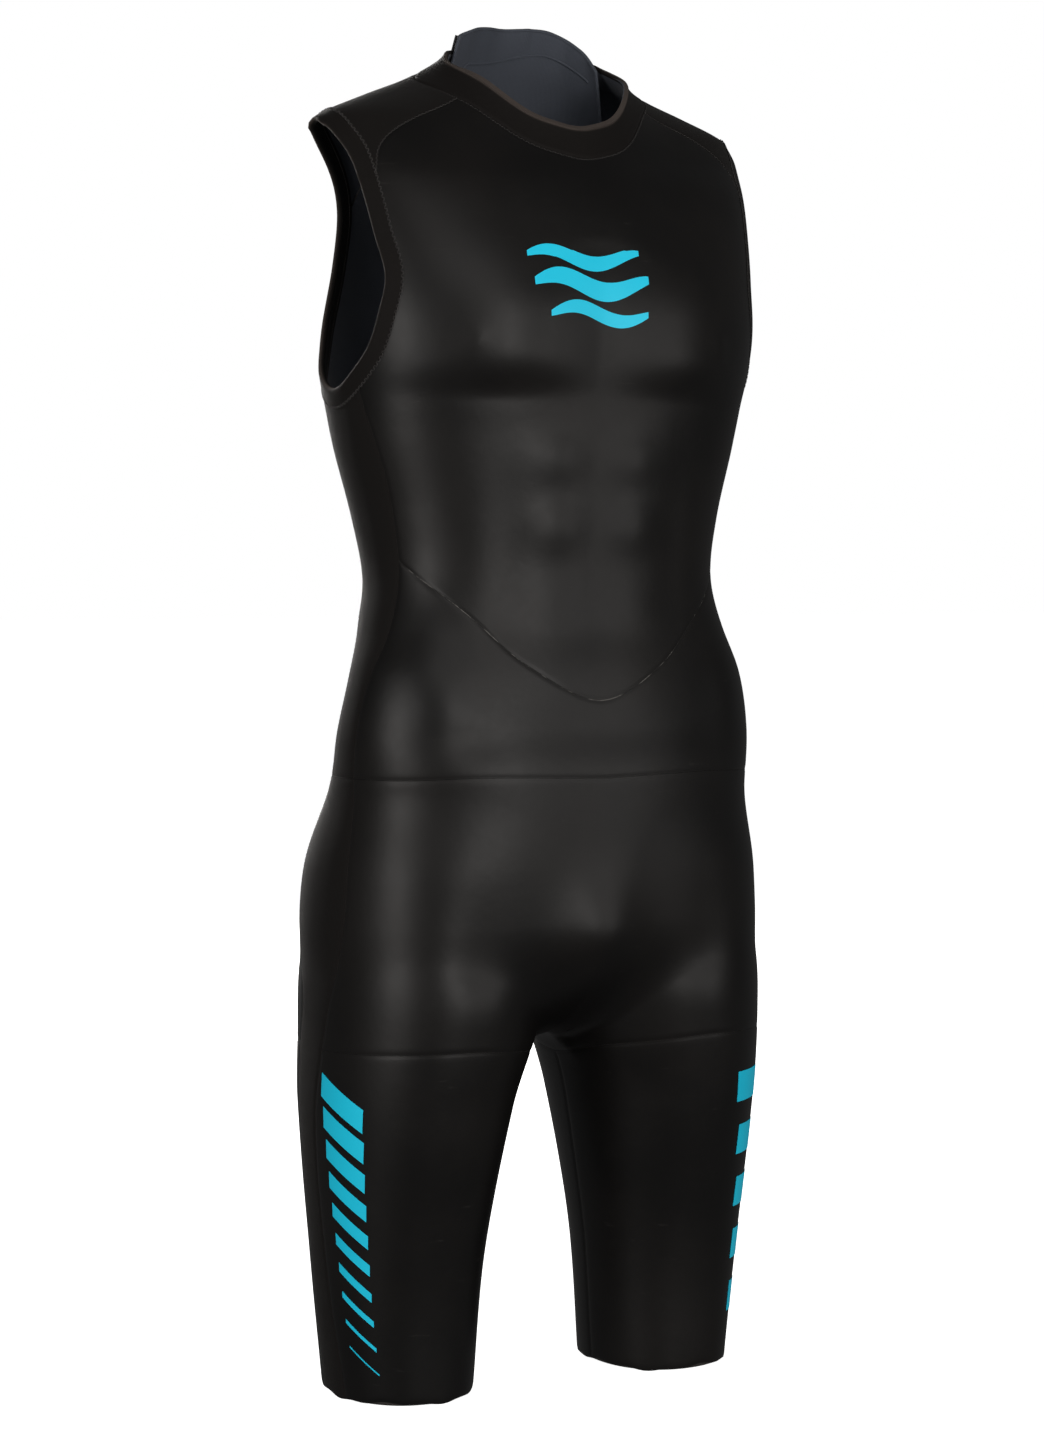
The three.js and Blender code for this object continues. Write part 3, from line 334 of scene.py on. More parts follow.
# %% The armhole
BINDING = 14.0
arm_knots = [
    (90, 3), (79, -27), (76.5, -50), (73, -90), (70, -119), (71.5, -144), (76, 30 - ARMHOLE_DROP),
    (92, 5 - ARMHOLE_DROP), (108, 30 - ARMHOLE_DROP), (114, -140), (118, -100), (117, -58), (109, -26),
]
arm_points = [on_trunk(angle, TIP + rise) for angle, rise in arm_knots]
arm_marks = [mark / len(arm_knots) for mark in (2, 6.45, 7.55, 11, 15)]
arm_runs = [
    onto_form(spaced(arm_points, count * REFINE, True, arm_marks[i], arm_marks[i + 1]))
    for i, count in enumerate((6, 3, 6, 4))
]
arm_seams = [
    beside(run, arm_runs[i - 1][-2], arm_runs[(i + 1) % 4][1], BINDING) for i, run in enumerate(arm_runs)
]
arm_front, arm_bottom, arm_back, arm_top = arm_seams
arm_edge, arm_outside = chain(*arm_runs), chain(*arm_seams)
print("armhole", round(float(np.linalg.norm(np.diff(arm_edge, axis=0), axis=1).sum())), "mm round")

# %% Collar and shoulder seams
collar_base = profile(
    (0, TIP - 27), (30, TIP - 15), (64, TIP + 15), (90, TIP + 33), (116, TIP + 46), (180, TIP + 48),
)
collar_rise = profile((0, 23), (55, 20), (105, 15), (145, 19), (180, 29))
YOKE_FRONT, YOKE_BACK = 68.0, 128.0
ZIP_SIDE = 180 - math.degrees(math.asin(ZIP_HALF / NECK_HALF))


def round_abs(angle, ease=16):
    """An angle's size, eased near 0 so that the throat is round."""
    return np.abs(angle) * np.tanh(np.abs(angle) / ease)


def collar_run(start, end, count, lift=lambda angle: 0.0):
    """A run round the neck, a lift above the collar's base."""
    angles = np.linspace(start, end, count * REFINE + 1)
    return on_neck(angles, collar_base(round_abs(angles)) + lift(np.abs(angles)))


def nape_run(lift=lambda angle: 0.0):
    """The run from the shoulder seam to the zip's side at the nape."""
    run = collar_run(YOKE_BACK, ZIP_SIDE, 3, lift)
    run[-1, 0] = ZIP_HALF
    return run


throat, collar_side, collar_nape = (
    collar_run(-YOKE_FRONT, YOKE_FRONT, 8), collar_run(YOKE_FRONT, YOKE_BACK, 4), nape_run(),
)
yoke_front = seam([collar_side[0], on_trunk(72, TIP - 20), arm_front[0]], 4)
yoke_back = seam([collar_side[-1], on_trunk(122, TIP - 2), arm_back[-1]], 4)

# %% Body seams
belly_join = on_trunk(77, WAIST + 11)
side_front_upper = seam([arm_front[-1], on_trunk(76, ribs(0.39)), belly_join], 5)
waist_front_join = on_trunk(85, WAIST_SEAM)
side_front_lower = seam([belly_join, on_trunk(80, WAIST - 45), on_trunk(85, loin(0.4)), waist_front_join], 6)
loin_join, waist_back_join = on_trunk(101, ZIP_FOOT - 24), on_trunk(101, WAIST_SEAM)
side_back_upper = seam([arm_back[0], on_trunk(104, ribs(0.39)), on_trunk(103, WAIST), loin_join], 8)
side_back_lower = seam([loin_join, waist_back_join], 3)
belly = seam(
    [mirrored(belly_join), on_trunk(-54, WAIST - 34), on_trunk(-37, WAIST - 67), on_trunk(0, WAIST - 92),
     on_trunk(37, WAIST - 67), on_trunk(54, WAIST - 34), belly_join], 16,
)
waist_front = seam([on_trunk(0, WAIST_SEAM), on_trunk(45, WAIST_SEAM + 2), waist_front_join], 8)
waist_side = seam([waist_front_join, waist_back_join], 3)
waist_back = seam([on_trunk(180, WAIST_SEAM), on_trunk(140, WAIST_SEAM), waist_back_join], 8)
zip_heights = np.linspace(ZIP_FOOT - 10, collar_nape[-1, 2], 14 * REFINE + 1)
zip_side = np.stack([np.full_like(zip_heights, ZIP_HALF), spine_y(zip_heights), zip_heights], -1)
zip_side[-1] = collar_nape[-1]
loin_seam = seam([zip_side[0], on_trunk(140, ZIP_FOOT - 16), loin_join], 7)
zip_end = seam([mirrored(zip_side[0]), zip_side[0]], 2)

# %% Hip and leg seams
front_join, back_join = on_leg(82, CROTCH - 8), on_leg(112, CROTCH - 8)
inner_join = on_leg(-88, CROTCH - 24)
low, high = 0.6 * CROTCH, CROTCH + 60
for _ in range(40):
    half_way = (low + high) / 2
    if form(np.array([0.0, 0.0, half_way])) < 0:
        high = half_way
    else:
        low = half_way
crotch_point = np.array([0.0, 0.0, high])
hip_rows = ((waist_front_join, 78, 76, front_join), (waist_back_join, 108, 108, back_join))
hip_front, hip_back = (
    seam([top, on_trunk(upper, CROTCH + 91), on_leg(lower, CROTCH + 30), foot], 10)
    for top, upper, lower, foot in hip_rows
)
leg_front, leg_back = (
    seam([top, on_leg(above, 0.76 * CROTCH), on_leg(below, 0.4 * CROTCH), on_leg(foot, 0)], 10)
    for top, above, below, foot in ((front_join, 88, 84, 70), (back_join, 116, 114, 110))
)
inseam = seam([inner_join, on_leg(-90, 0.6 * CROTCH), on_leg(-90, 0.25 * CROTCH), on_leg(-90, 0)], 10)
inner_top = seam([inner_join, crotch_point], 2)
to_middle = lambda run: run * np.array([0.0, 1.0, 1.0])
fly, seat_line = (
    to_middle(seam([crotch_point] + [on_trunk(turn, z) for z in (CROTCH + 28, CROTCH + 66, WAIST_SEAM)], 8))
    for turn in (0, 180)
)
thigh_front, thigh_back = (
    seam([inner_join, *(on_leg(turn, CROTCH - drop) for turn, drop in zip(turns, (12, 4, 6))), join], 8)
    for turns, join in (((-45, 0, 45), front_join), ((-135, 180, 140), back_join))
)
hem_run = lambda start, end, count: on_leg(np.linspace(start, end, count * REFINE + 1), 0)
hem_front, hem_back, hem_side = hem_run(-90, 70, 8), hem_run(-90, -250, 8), hem_run(70, 110, 3)
print("crotch at", round(high, 1), "mm; hem", round(2 * float(leg_half(0))), "mm wide")

# %% [markdown]
# ## Finishes
# A shader is arithmetic on numbers that change over a surface. Wiring nodes one by one hides that arithmetic,
# so a small class lets it be written as sums and products, and one method adds any other node.


# %% Shader arithmetic
class Value:
    """A number, colour or vector on its way through a material's nodes."""

    def __init__(self, finish, socket):
        self.finish, self.socket = finish, socket

    def _math(self, operation, a, b=0.0):
        return self.finish.node("ShaderNodeMath", {"operation": operation}, {0: a, 1: b})

    def __add__(self, other): return self._math("ADD", self, other)
    def __radd__(self, other): return self._math("ADD", other, self)
    def __sub__(self, other): return self._math("SUBTRACT", self, other)
    def __rsub__(self, other): return self._math("SUBTRACT", other, self)
    def __mul__(self, other): return self._math("MULTIPLY", self, other)
    def __rmul__(self, other): return self._math("MULTIPLY", other, self)
    def __pow__(self, other): return self._math("POWER", self, other)
    def sine(self): return self._math("SINE", self)
    def fract(self): return self._math("FRACT", self)
    def absolute(self): return self._math("ABSOLUTE", self)

    def ramp(self, low, high):
        """0 below low, 1 above high, smooth between."""
        settings = {"interpolation_type": "SMOOTHSTEP"}
        return self.finish.node("ShaderNodeMapRange", settings, {0: self, 1: low, 2: high, 3: 0.0, 4: 1.0})

    def part(self, index):
        """One of a vector's three numbers."""
        return self.finish.node("ShaderNodeSeparateXYZ", {}, {0: self}, index)


class Finish:
    """A material and the nodes that feed its shader."""

    def __init__(self, name, **constants):
        self.material = bpy.data.materials.new(name)
        self.material.use_nodes = True
        self.tree = self.material.node_tree
        self.shader = self.tree.nodes["Principled BSDF"]
        for socket, value in constants.items():
            self.shader.inputs[socket.replace("_", " ")].default_value = value
        made[name] = self.material

    def node(self, kind, settings, values, output=0):
        """Any node: its settings first, then values or links by socket, and one of its outputs."""
        node = self.tree.nodes.new(kind)
        for key, value in settings.items():
            setattr(node, key, value)
        for key, value in values.items():
            if isinstance(value, Value):
                self.tree.links.new(value.socket, node.inputs[key])
            else:
                node.inputs[key].default_value = value
        return Value(self, node.outputs[output])

    def feed(self, socket, value):
        """Links a value that changes over the surface to one of the shader's sockets."""
        self.tree.links.new(value.socket, self.shader.inputs[socket])

    def place(self):
        """Object coordinates, in metres."""
        return self.node("ShaderNodeTexCoord", {}, {}, "Object")

    def weave(self):
        """The cloth's own coordinates, in metres along and across it."""
        return self.node("ShaderNodeAttribute", {"attribute_name": "weave"}, {}, "Vector")

    def rim(self):
        """A painted highlight: 1 at a free edge, 0 away from it."""
        return self.node("ShaderNodeAttribute", {"attribute_name": "rim"}, {}, "Fac")

    def noise(self, where, scale, detail=2.0, roughness=0.5):
        """Even noise about 0.5."""
        values = {"Vector": where, "Scale": scale, "Detail": detail, "Roughness": roughness}
        return self.node("ShaderNodeTexNoise", {}, values, "Fac")

    def blend(self, share, a, b):
        """A colour a share of the way from a to b."""
        return self.node("ShaderNodeMix", {"data_type": "RGBA"}, {0: share, 6: a, 7: b}, 2)

    def bump(self, height, distance, strength=1.0):
        """A bump in metres that tilts the shader's normal."""
        values = {"Height": height, "Distance": distance, "Strength": strength}
        return self.node("ShaderNodeBump", {}, values)


made = {}
rgb = lambda r, g, b: (r, g, b, 1.0)

# %% [markdown]
# Smooth-skin neoprene is foam with a moulded rubber face: almost black, a little brown, with a broad soft
# sheen. Handling leaves it uneven, so its roughness drifts slowly and a few faint rub marks cross it. Nor is
# its face quite flat: the foam's cells show through as a fine pebble that a raking light picks out.

# %% Smooth-skin neoprene
neoprene = Finish("smooth_neoprene_finish", Roughness=0.4, IOR=1.45, Specular_IOR_Level=0.3)
where = neoprene.place()
cloud = neoprene.noise(where, 9.0, 3.0)
pebble = neoprene.noise(where, 1400.0, 1.0)
dimple = neoprene.noise(where, 160.0, 2.0)
stretch = neoprene.node("ShaderNodeVectorMath", {"operation": "MULTIPLY"}, {0: where, 1: (30.0, 30.0, 210.0)})
rub = neoprene.noise(stretch, 1.0, 3.0, 0.7).ramp(0.66, 0.8)
shade = neoprene.blend(cloud.ramp(0.35, 0.7), rgb(0.0028, 0.0025, 0.0024), rgb(0.0056, 0.0048, 0.0044))
neoprene.feed("Base Color", neoprene.blend(rub * 0.35, shade, rgb(0.03, 0.028, 0.026)))
neoprene.feed("Roughness", 0.36 + cloud * 0.1 + dimple * 0.05 + rub * 0.08)
neoprene.feed("Normal", neoprene.bump(pebble * 0.35 + dimple, 0.00012, 0.6))

# %% [markdown]
# The shoulders, sides and bindings are foam faced with knitted jersey. A knit is rows of small loops, so the
# pattern is two crossed waves on the cloth's own coordinates: ribs one way, and a zigzag of loops along each.

# %% Knitted jersey, outside and inside


def knit(finish, ribs_per_metre, depth, dark, light, rough):
    """Ribs of knitted loops that follow the cloth."""
    cloth = finish.weave()
    across = cloth.part(0) * ribs_per_metre
    leaning = (across.fract() - 0.5).absolute()
    loops = ((cloth.part(1) * (1.25 * ribs_per_metre) + leaning * 1.1) * math.tau).sine() * 0.5 + 0.5
    ribs_up = 1 - (leaning * 2) ** 2.2
    height = ribs_up * (0.55 + loops * 0.45)
    drift = finish.noise(finish.place(), 14.0, 3.0)
    fuzz = finish.noise(finish.place(), 900.0, 1.0)
    base = finish.blend(height * 0.7 + fuzz * 0.3, dark, light)
    wear_and_highlight = finish.blend(drift.ramp(0.45, 0.75) * 0.35, base, light)
    finish.feed("Roughness", rough + drift * 0.1 - height * 0.05)
    finish.feed("Normal", finish.bump(height + fuzz * 0.25, depth, 0.7))
    return wear_and_highlight


KNIT_DEPTH = 0.00012
BLACK_YARN, WORN_YARN = rgb(0.0030, 0.0025, 0.0023), rgb(0.0085, 0.0070, 0.0062)
jersey = Finish(
    "panel_jersey_finish", Sheen_Weight=0.04, Sheen_Roughness=0.45, IOR=1.4, Specular_IOR_Level=0.2,
)
jersey.feed("Base Color", knit(jersey, 1100.0, KNIT_DEPTH, BLACK_YARN, WORN_YARN, 0.72))
lining = Finish("lining_jersey_finish", Sheen_Weight=0.12, Sheen_Roughness=0.4, IOR=1.4)
blue_grey = knit(lining, 1000.0, KNIT_DEPTH, rgb(0.027, 0.032, 0.043), rgb(0.066, 0.075, 0.095), 0.75)
lining.feed("Base Color", blue_grey)
bound = Finish("binding_finish", Sheen_Weight=0.03, Sheen_Roughness=0.4, IOR=1.4, Specular_IOR_Level=0.2)
bound_cloth = knit(bound, 1100.0, KNIT_DEPTH, BLACK_YARN, rgb(0.0085, 0.0068, 0.0060), 0.7)
# The paler brown that the rim weight blends in is a painted highlight on the binding's and collar's edges.
bound.feed("Base Color", bound.blend(bound.rim() * 0.8, bound_cloth, rgb(0.075, 0.061, 0.054)))

# %% [markdown]
# A cut edge of foam is paler than its skins, because the open cells scatter light. Thread is twisted and a
# little glossy. The prints are a rubbery ink with a clean, slightly shiny face.

# %% Cut foam, thread, glue and print
foam = Finish("cut_foam_finish", Roughness=0.8)
cells = foam.noise(foam.place(), 1100.0, 2.0)
foam.feed("Base Color", foam.blend(cells, rgb(0.018, 0.016, 0.015), rgb(0.05, 0.044, 0.040)))
foam.feed("Normal", foam.bump(cells, 0.0002, 0.6))
thread = Finish("thread_finish", Sheen_Weight=0.1, IOR=1.45)
twist = ((thread.place().part(0) + thread.place().part(2)) * 9000.0).sine() * 0.5 + 0.5
thread.feed("Base Color", thread.blend(twist, rgb(0.010, 0.0092, 0.009), rgb(0.050, 0.045, 0.043)))
thread.feed("Roughness", 0.5 + twist * 0.2)
glue = Finish("glue_line_finish", IOR=1.45)
patchy = glue.noise(glue.place(), 60.0, 4.0, 0.75)
dried = patchy.ramp(0.5, 0.62)
glue.feed("Base Color", glue.blend(dried, rgb(0.006, 0.0055, 0.005), rgb(0.13, 0.125, 0.115)))
glue.feed("Roughness", 0.3 + patchy * 0.3)
ink = Finish("print_ink_finish", IOR=1.45)
grain = ink.noise(ink.place(), 700.0, 2.0)
fade = ink.noise(ink.place(), 12.0, 2.0)
faded = fade.ramp(0.3, 0.7) * 0.6 + grain * 0.2
ink.feed("Base Color", ink.blend(faded, rgb(0.004, 0.58, 0.84), rgb(0.008, 0.68, 0.94)))
ink.feed("Roughness", 0.42 + grain * 0.16)
ink.feed("Normal", ink.bump(grain, 0.00006, 0.5))

# %% [markdown]
# The zip is moulded plastic teeth on a woven tape, with dark satin metal for the slider, its pull and the
# stops. Fine lines cross the metal, as a brush leaves them, and slow noise dulls it in patches.

# %% Zip and fastening finishes
tape = Finish("zip_tape_finish", Sheen_Weight=0.08, Sheen_Roughness=0.4)
cloth = tape.weave()
twill = ((cloth.part(0) + cloth.part(1)) * (math.tau * 1200.0)).sine() * 0.5 + 0.5
ridge = (cloth.part(0) * (math.tau * 420.0)).sine() * 0.5 + 0.5
threads_up = twill * 0.6 + ridge * 0.4
tape.feed("Base Color", tape.blend(threads_up, rgb(0.006, 0.006, 0.0065), rgb(0.022, 0.022, 0.024)))
tape.feed("Roughness", 0.78 + twill * 0.1)
tape.feed("Normal", tape.bump(twill * 0.6 + ridge, 0.0002, 0.8))
plastic = Finish("zip_plastic_finish", IOR=1.46)
flow = plastic.noise(plastic.place(), 300.0, 2.0)
plastic.feed("Base Color", plastic.blend(flow, rgb(0.010, 0.010, 0.011), rgb(0.022, 0.022, 0.024)))
plastic.feed("Roughness", 0.3 + flow * 0.2)
metal = Finish("zip_metal_finish", Metallic=1.0)
brush = (2600.0, 240.0, 240.0)
brushed = metal.node("ShaderNodeVectorMath", {"operation": "MULTIPLY"}, {0: metal.place(), 1: brush})
lines = metal.noise(brushed, 1.0, 3.0)
dull = metal.noise(metal.place(), 180.0, 3.0)
metal.feed("Base Color", metal.blend(dull, rgb(0.16, 0.165, 0.175), rgb(0.34, 0.345, 0.36)))
metal.feed("Roughness", 0.24 + lines * 0.14 + dull * 0.12)
metal.feed("Normal", metal.bump(lines, 0.00003, 0.5))
pile = Finish("hook_and_loop_finish", Sheen_Weight=0.3, Sheen_Roughness=0.5)
tufts = pile.noise(pile.place(), 2200.0, 2.0, 0.7)
pile.feed("Base Color", pile.blend(tufts, rgb(0.006, 0.006, 0.007), rgb(0.03, 0.03, 0.033)))
pile.feed("Roughness", 0.85 + tufts * 0.1)
pile.feed("Normal", pile.bump(tufts, 0.0006, 0.9))
print(len(made), "finishes:", ", ".join(made))

# %% [markdown]
# ## From a patch to cloth
# A panel lies between four seams. Blending the four sides gives a grid of points, and laying the inner ones
# on the form makes the patch follow the body. The grid operator makes the faces, Solidify gives the cloth its
# thickness towards the body, and extra rows beside each seam let the face dip there, as glued foam does.

# %% Patches and cloth
SEAM_DIP, DIP_WIDTH = 0.34, 3.4


def patch(bottom, right, top, left):
    """A grid of points blended from four sides, its inside laid on the form."""
    u = np.linspace(0, 1, len(bottom))[None, :, None]
    v = np.linspace(0, 1, len(left))[:, None, None]
    sides = mix(bottom[None], top[None], v) + mix(left[:, None], right[:, None], u)
    grid = sides - mix(mix(bottom[0], bottom[-1], u), mix(top[0], top[-1], u), v)
    grid[1:-1, 1:-1] = onto_form(grid[1:-1, 1:-1])
    return grid


def rows_beside(count, low, high):
    """Places of the grid's rows: close together beside a seam, starting half a seam gap in."""
    inner = np.arange(1.0, count - 1)
    close = np.array([0.05, 0.22, 0.5, 0.75])
    start = close if low else np.array([0.0])
    end = count - 1 - close[::-1] if high else np.array([count - 1.0])
    return np.concatenate([start, inner, end])


def resample(grid, rows, columns):
    """The grid's points at in-between rows and columns."""
    for axis, places in ((0, rows), (1, columns)):
        low = np.clip(np.floor(places).astype(int), 0, grid.shape[axis] - 2)
        share = (places - low).reshape((-1, 1, 1) if axis == 0 else (1, -1, 1))
        grid = mix(np.take(grid, low, axis), np.take(grid, low + 1, axis), share)
    return grid


def lengths(grid, axis):
    """How far along its row or column each point lies, in millimetres."""
    step = np.linalg.norm(np.diff(grid, axis=axis), axis=-1)
    pad = [(1, 0), (0, 0)] if axis == 0 else [(0, 0), (1, 0)]
    return np.pad(np.cumsum(step, axis=axis), pad)


def add_grid(bm, grid, **values):
    """Adds a grid of points to a bmesh, with a number or vector of each kind at every point."""
    rows, columns = grid.shape[:2]
    kind_of = lambda value: bm.verts.layers.float_vector if value.ndim == 3 else bm.verts.layers.float
    for key, value in values.items():
        if key not in kind_of(value):
            kind_of(value).new(key)
    verts = bmesh.ops.create_grid(bm, x_segments=columns - 1, y_segments=rows - 1, size=1.0)["verts"]
    layers = [(kind_of(value)[key], value) for key, value in values.items()]
    flat = np.array([v.co for v in verts])
    low, high = flat.min(0), flat.max(0)
    column = np.rint((flat[:, 0] - low[0]) / (high[0] - low[0]) * (columns - 1)).astype(int)
    row = np.rint((flat[:, 1] - low[1]) / (high[1] - low[1]) * (rows - 1)).astype(int)
    for v, r, c in zip(verts, row, column):
        v.co = grid[r, c]
        for layer, value in layers:
            v[layer] = Vector(value[r, c]) if value.ndim == 3 else float(value[r, c])


STUFF = {
    "smooth_neoprene": "foam", "panel_jersey": "jersey", "lining_jersey": "lining", "zip_tape": "webbing",
    "zip_plastic": "teeth", "hook_and_loop": "pile",
}


def finished(bm, name, slot, finishes, body="suit", replaces=(), smooth=math.radians(48)):
    """A bmesh in millimetres of the form becomes a piece in the frame, with its finishes and its body."""
    for v in bm.verts:
        v.co = (v.co + Vector(SHIFT)) * MM
    if name in frame["nodes"]:
        name = f"{name}_{STUFF[slot]}"
    mesh = bpy.data.meshes.new(name)
    bm.to_mesh(mesh)
    bm.free()
    piece = bpy.data.objects.new(name, mesh)
    bpy.context.scene.collection.objects.link(piece)
    for finish in finishes:
        mesh.materials.append(finish.material)
    mesh.shade_smooth()
    mesh.set_sharp_from_angle(angle=smooth)
    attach(piece, body)
    if replaces:
        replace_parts(piece, *replaces)
    return piece


def applied(bm, **settings):
    """The bmesh with a Solidify modifier applied: face side first, then the inner side."""
    mesh = bpy.data.meshes.new("work")
    bm.to_mesh(mesh)
    bm.free()
    work = bpy.data.objects.new("work", mesh)
    bpy.context.scene.collection.objects.link(work)
    modifier = work.modifiers.new("wall", "SOLIDIFY")
    for key, value in settings.items():
        setattr(modifier, key, value)
    for _ in range(3):
        mesh.materials.append(None)
    shown = work.evaluated_get(bpy.context.evaluated_depsgraph_get())
    result = bmesh.new()
    result.from_mesh(shown.to_mesh())
    shown.to_mesh_clear()
    bpy.data.objects.remove(work)
    bpy.data.meshes.remove(mesh)
    return result


def outward_facing(bm):
    """Turns every face away from the form."""
    bm.normal_update()
    centres = np.array([f.calc_center_median() for f in bm.faces])
    normals = np.array([f.normal for f in bm.faces])
    ways = (slope_of(centres) * normals).sum(-1)
    bmesh.ops.reverse_faces(bm, faces=[f for f, way in zip(bm.faces, ways) if way < 0])


def away_from(grid):
    """How far each point of a grid lies from each of its four sides."""
    up, along = lengths(grid, 0), lengths(grid, 1)
    return {"bottom": up, "top": up[-1:] - up, "left": along, "right": along[:, -1:] - along}


def cloth_panel(name, cloth, grids, thick=NEOPRENE, dips=None, free=(), shape=None):
    """A panel of a cloth from one or more patches: dips deepens a side's seam, free names the cut sides."""
    slot, finishes = cloth
    dip = dict.fromkeys(("bottom", "right", "top", "left"), SEAM_DIP) | (dips or {})
    bm = bmesh.new()
    for way, grid in zip((1, -1), grids):
        rows = rows_beside(grid.shape[0], dip["bottom"] is not None, dip["top"] is not None)
        columns = rows_beside(grid.shape[1], dip["left"] is not None, dip["right"] is not None)
        fine = resample(grid, rows, columns)
        away = away_from(fine)
        up, along = away["bottom"], away["left"]
        sunk, rim = np.zeros(up.shape), np.zeros(up.shape)
        for side, distance in away.items():
            if dip[side]:
                sunk = np.maximum(sunk, dip[side] * (1 - smoothstep(distance, 0, DIP_WIDTH)))
            # Along a free side the rim weight is a painted highlight, which only the binding finish shows.
            if side in free:
                rim = np.maximum(rim, 1 - smoothstep(distance, 0.5, 2.5))
        weave = np.stack([way * along.mean(0)[None] + 0 * up, up.mean(1)[:, None] + 0 * up, 0 * up], -1) * MM
        add_grid(bm, fine, sunk=sunk, rim=rim, weave=weave)
    bmesh.ops.remove_doubles(bm, verts=bm.verts, dist=0.02)
    outward_facing(bm)
    count = len(bm.verts)
    bm = applied(bm, thickness=thick, offset=-1.0, material_offset=1, material_offset_rim=2)
    bm.verts.ensure_lookup_table()
    depth = bm.verts.layers.float["sunk"]
    skin = bm.verts[:count]
    places = np.array([v.co for v in skin])
    inward = unit(slope_of(places)) * np.array([v[depth] for v in skin])[:, None]
    if shape is not None:
        places = shape(places)
    for v, place, move in zip(skin, places, inward):
        v.co = place - move
    return finished(bm, name, slot, finishes, replaces=(name,))


def pair_of(name, cloth, grid, **settings):
    """The same panel on the wearer's left and right."""
    cloth_panel(f"left_{name}", cloth, [grid], **settings)
    cloth_panel(f"right_{name}", cloth, [mirrored(grid)], **settings)


# %% [markdown]
# ## The panels
# The front is one smooth sheet from the shoulders to a curved belly seam, a waist panel, and a hip panel. The
# hip panel is one piece of foam drawn as two halves, so their middle line is welded and has no dip.

# %% Front panels
SMOOTH = ("smooth_neoprene", (neoprene, lining, foam))
KNITTED = ("panel_jersey", (jersey, lining, foam))
both_halves = lambda half: chain(mirrored(half)[::-1], half)
chest_side = chain(arm_front, side_front_upper)
chest_top = chain(mirrored(yoke_front)[::-1], throat, yoke_front)
cloth_panel("chest_panel", SMOOTH, [patch(belly, chest_side[::-1], chest_top, mirrored(chest_side)[::-1])])
lower_side = side_front_lower[::-1]
abdomen = patch(both_halves(waist_front), lower_side, belly, mirrored(lower_side))
cloth_panel("abdomen_panel", SMOOTH, [abdomen])
hip = patch(thigh_front, hip_front[::-1], waist_front, chain(inner_top, fly))
cloth_panel("front_hip_panel", SMOOTH, [hip, mirrored(hip)], dips={"left": None})
print("front panels made")

# %% Back panels
back_top = chain(collar_nape[::-1], yoke_back)
back_side = chain(arm_back[::-1], side_back_upper)
pair_of("back_panel", SMOOTH, patch(loin_seam, back_side[::-1], back_top, zip_side))
loin_line = chain(mirrored(loin_seam)[::-1], zip_end, loin_seam)
low_side = side_back_lower[::-1]
lower_back = patch(both_halves(waist_back), low_side, loin_line, mirrored(low_side))
cloth_panel("lower_back_panel", SMOOTH, [lower_back])
seat = patch(thigh_back, hip_back[::-1], waist_back, chain(inner_top, seat_line))
cloth_panel("seat_panel", SMOOTH, [seat, mirrored(seat)], dips={"left": None})
print("back panels made")

# %% Sides, shoulders and legs
side_front = chain(side_front_upper, side_front_lower)
side_back = chain(side_back_upper, side_back_lower)
pair_of("side_panel", KNITTED, patch(waist_side, side_back[::-1], arm_bottom, side_front[::-1]))
pair_of("shoulder_panel", KNITTED, patch(yoke_front, arm_top[::-1], yoke_back, collar_side), thick=JERSEY)
HEM_WAVE, HEM_REACH = 3.6, 60  # how far a hem lifts, and how high above it the wave has died out


def wavy_hem(places):
    """A raw hem is never quite level: it lifts a little in slow waves."""
    x, y, z = places.T
    turn = np.arctan2(np.abs(x) - LEG_SPREAD, -y)
    lift = HEM_WAVE * (0.5 + 0.32 * np.sin(4 * turn + np.sign(x)) + 0.18 * np.sin(11 * turn))
    return places + np.stack([0 * x, 0 * x, lift * np.clip(1 - z / HEM_REACH, 0, 1) ** 2], -1)


hem = dict(dips={"bottom": 0.35}, free=("bottom",), shape=wavy_hem)
leg_side = patch(hem_side, chain(hip_back, leg_back)[::-1], waist_side, chain(hip_front, leg_front)[::-1])
pair_of("leg_side_panel", KNITTED, leg_side, **hem)
pair_of("front_thigh_panel", SMOOTH, patch(hem_front, leg_front[::-1], thigh_front, inseam[::-1]), **hem)
pair_of("back_thigh_panel", SMOOTH, patch(hem_back, leg_back[::-1], thigh_back, inseam[::-1]), **hem)
print("legs made")

# %% [markdown]
# ## Edges
# The armholes are bound: a strip of jersey wraps the cut edge and is stitched down on both faces. The strip's
# section is a flat oval, thick at the rolled edge, carried round the opening and closed on itself.


# %% Armhole bindings
def ring_piece(rings, name, slot, finishes, rim=None, **settings):
    """Closed sections carried along a path; a path that ends where it began is closed too."""
    rings = np.array(rings)
    closed_path = np.allclose(rings[0], rings[-1], atol=0.05)
    grid = np.concatenate([rings, rings[:, :1]], 1)
    none = np.zeros(grid.shape[:2])
    weave = np.stack([lengths(grid, 1), lengths(grid, 0).mean(1)[:, None] + none, none], -1) * MM
    # The rim weight here is a painted highlight on chosen turns of the section.
    edge_highlight = none if rim is None else np.concatenate([rim, rim[:1]])[None] + none
    bm = bmesh.new()
    add_grid(bm, grid, weave=weave, rim=edge_highlight)
    bmesh.ops.remove_doubles(bm, verts=bm.verts, dist=0.01)
    if not closed_path:
        bmesh.ops.holes_fill(bm, edges=[e for e in bm.edges if e.is_boundary], sides=0)
    bmesh.ops.recalc_face_normals(bm, faces=bm.faces)
    return finished(bm, name, slot, finishes, **settings)


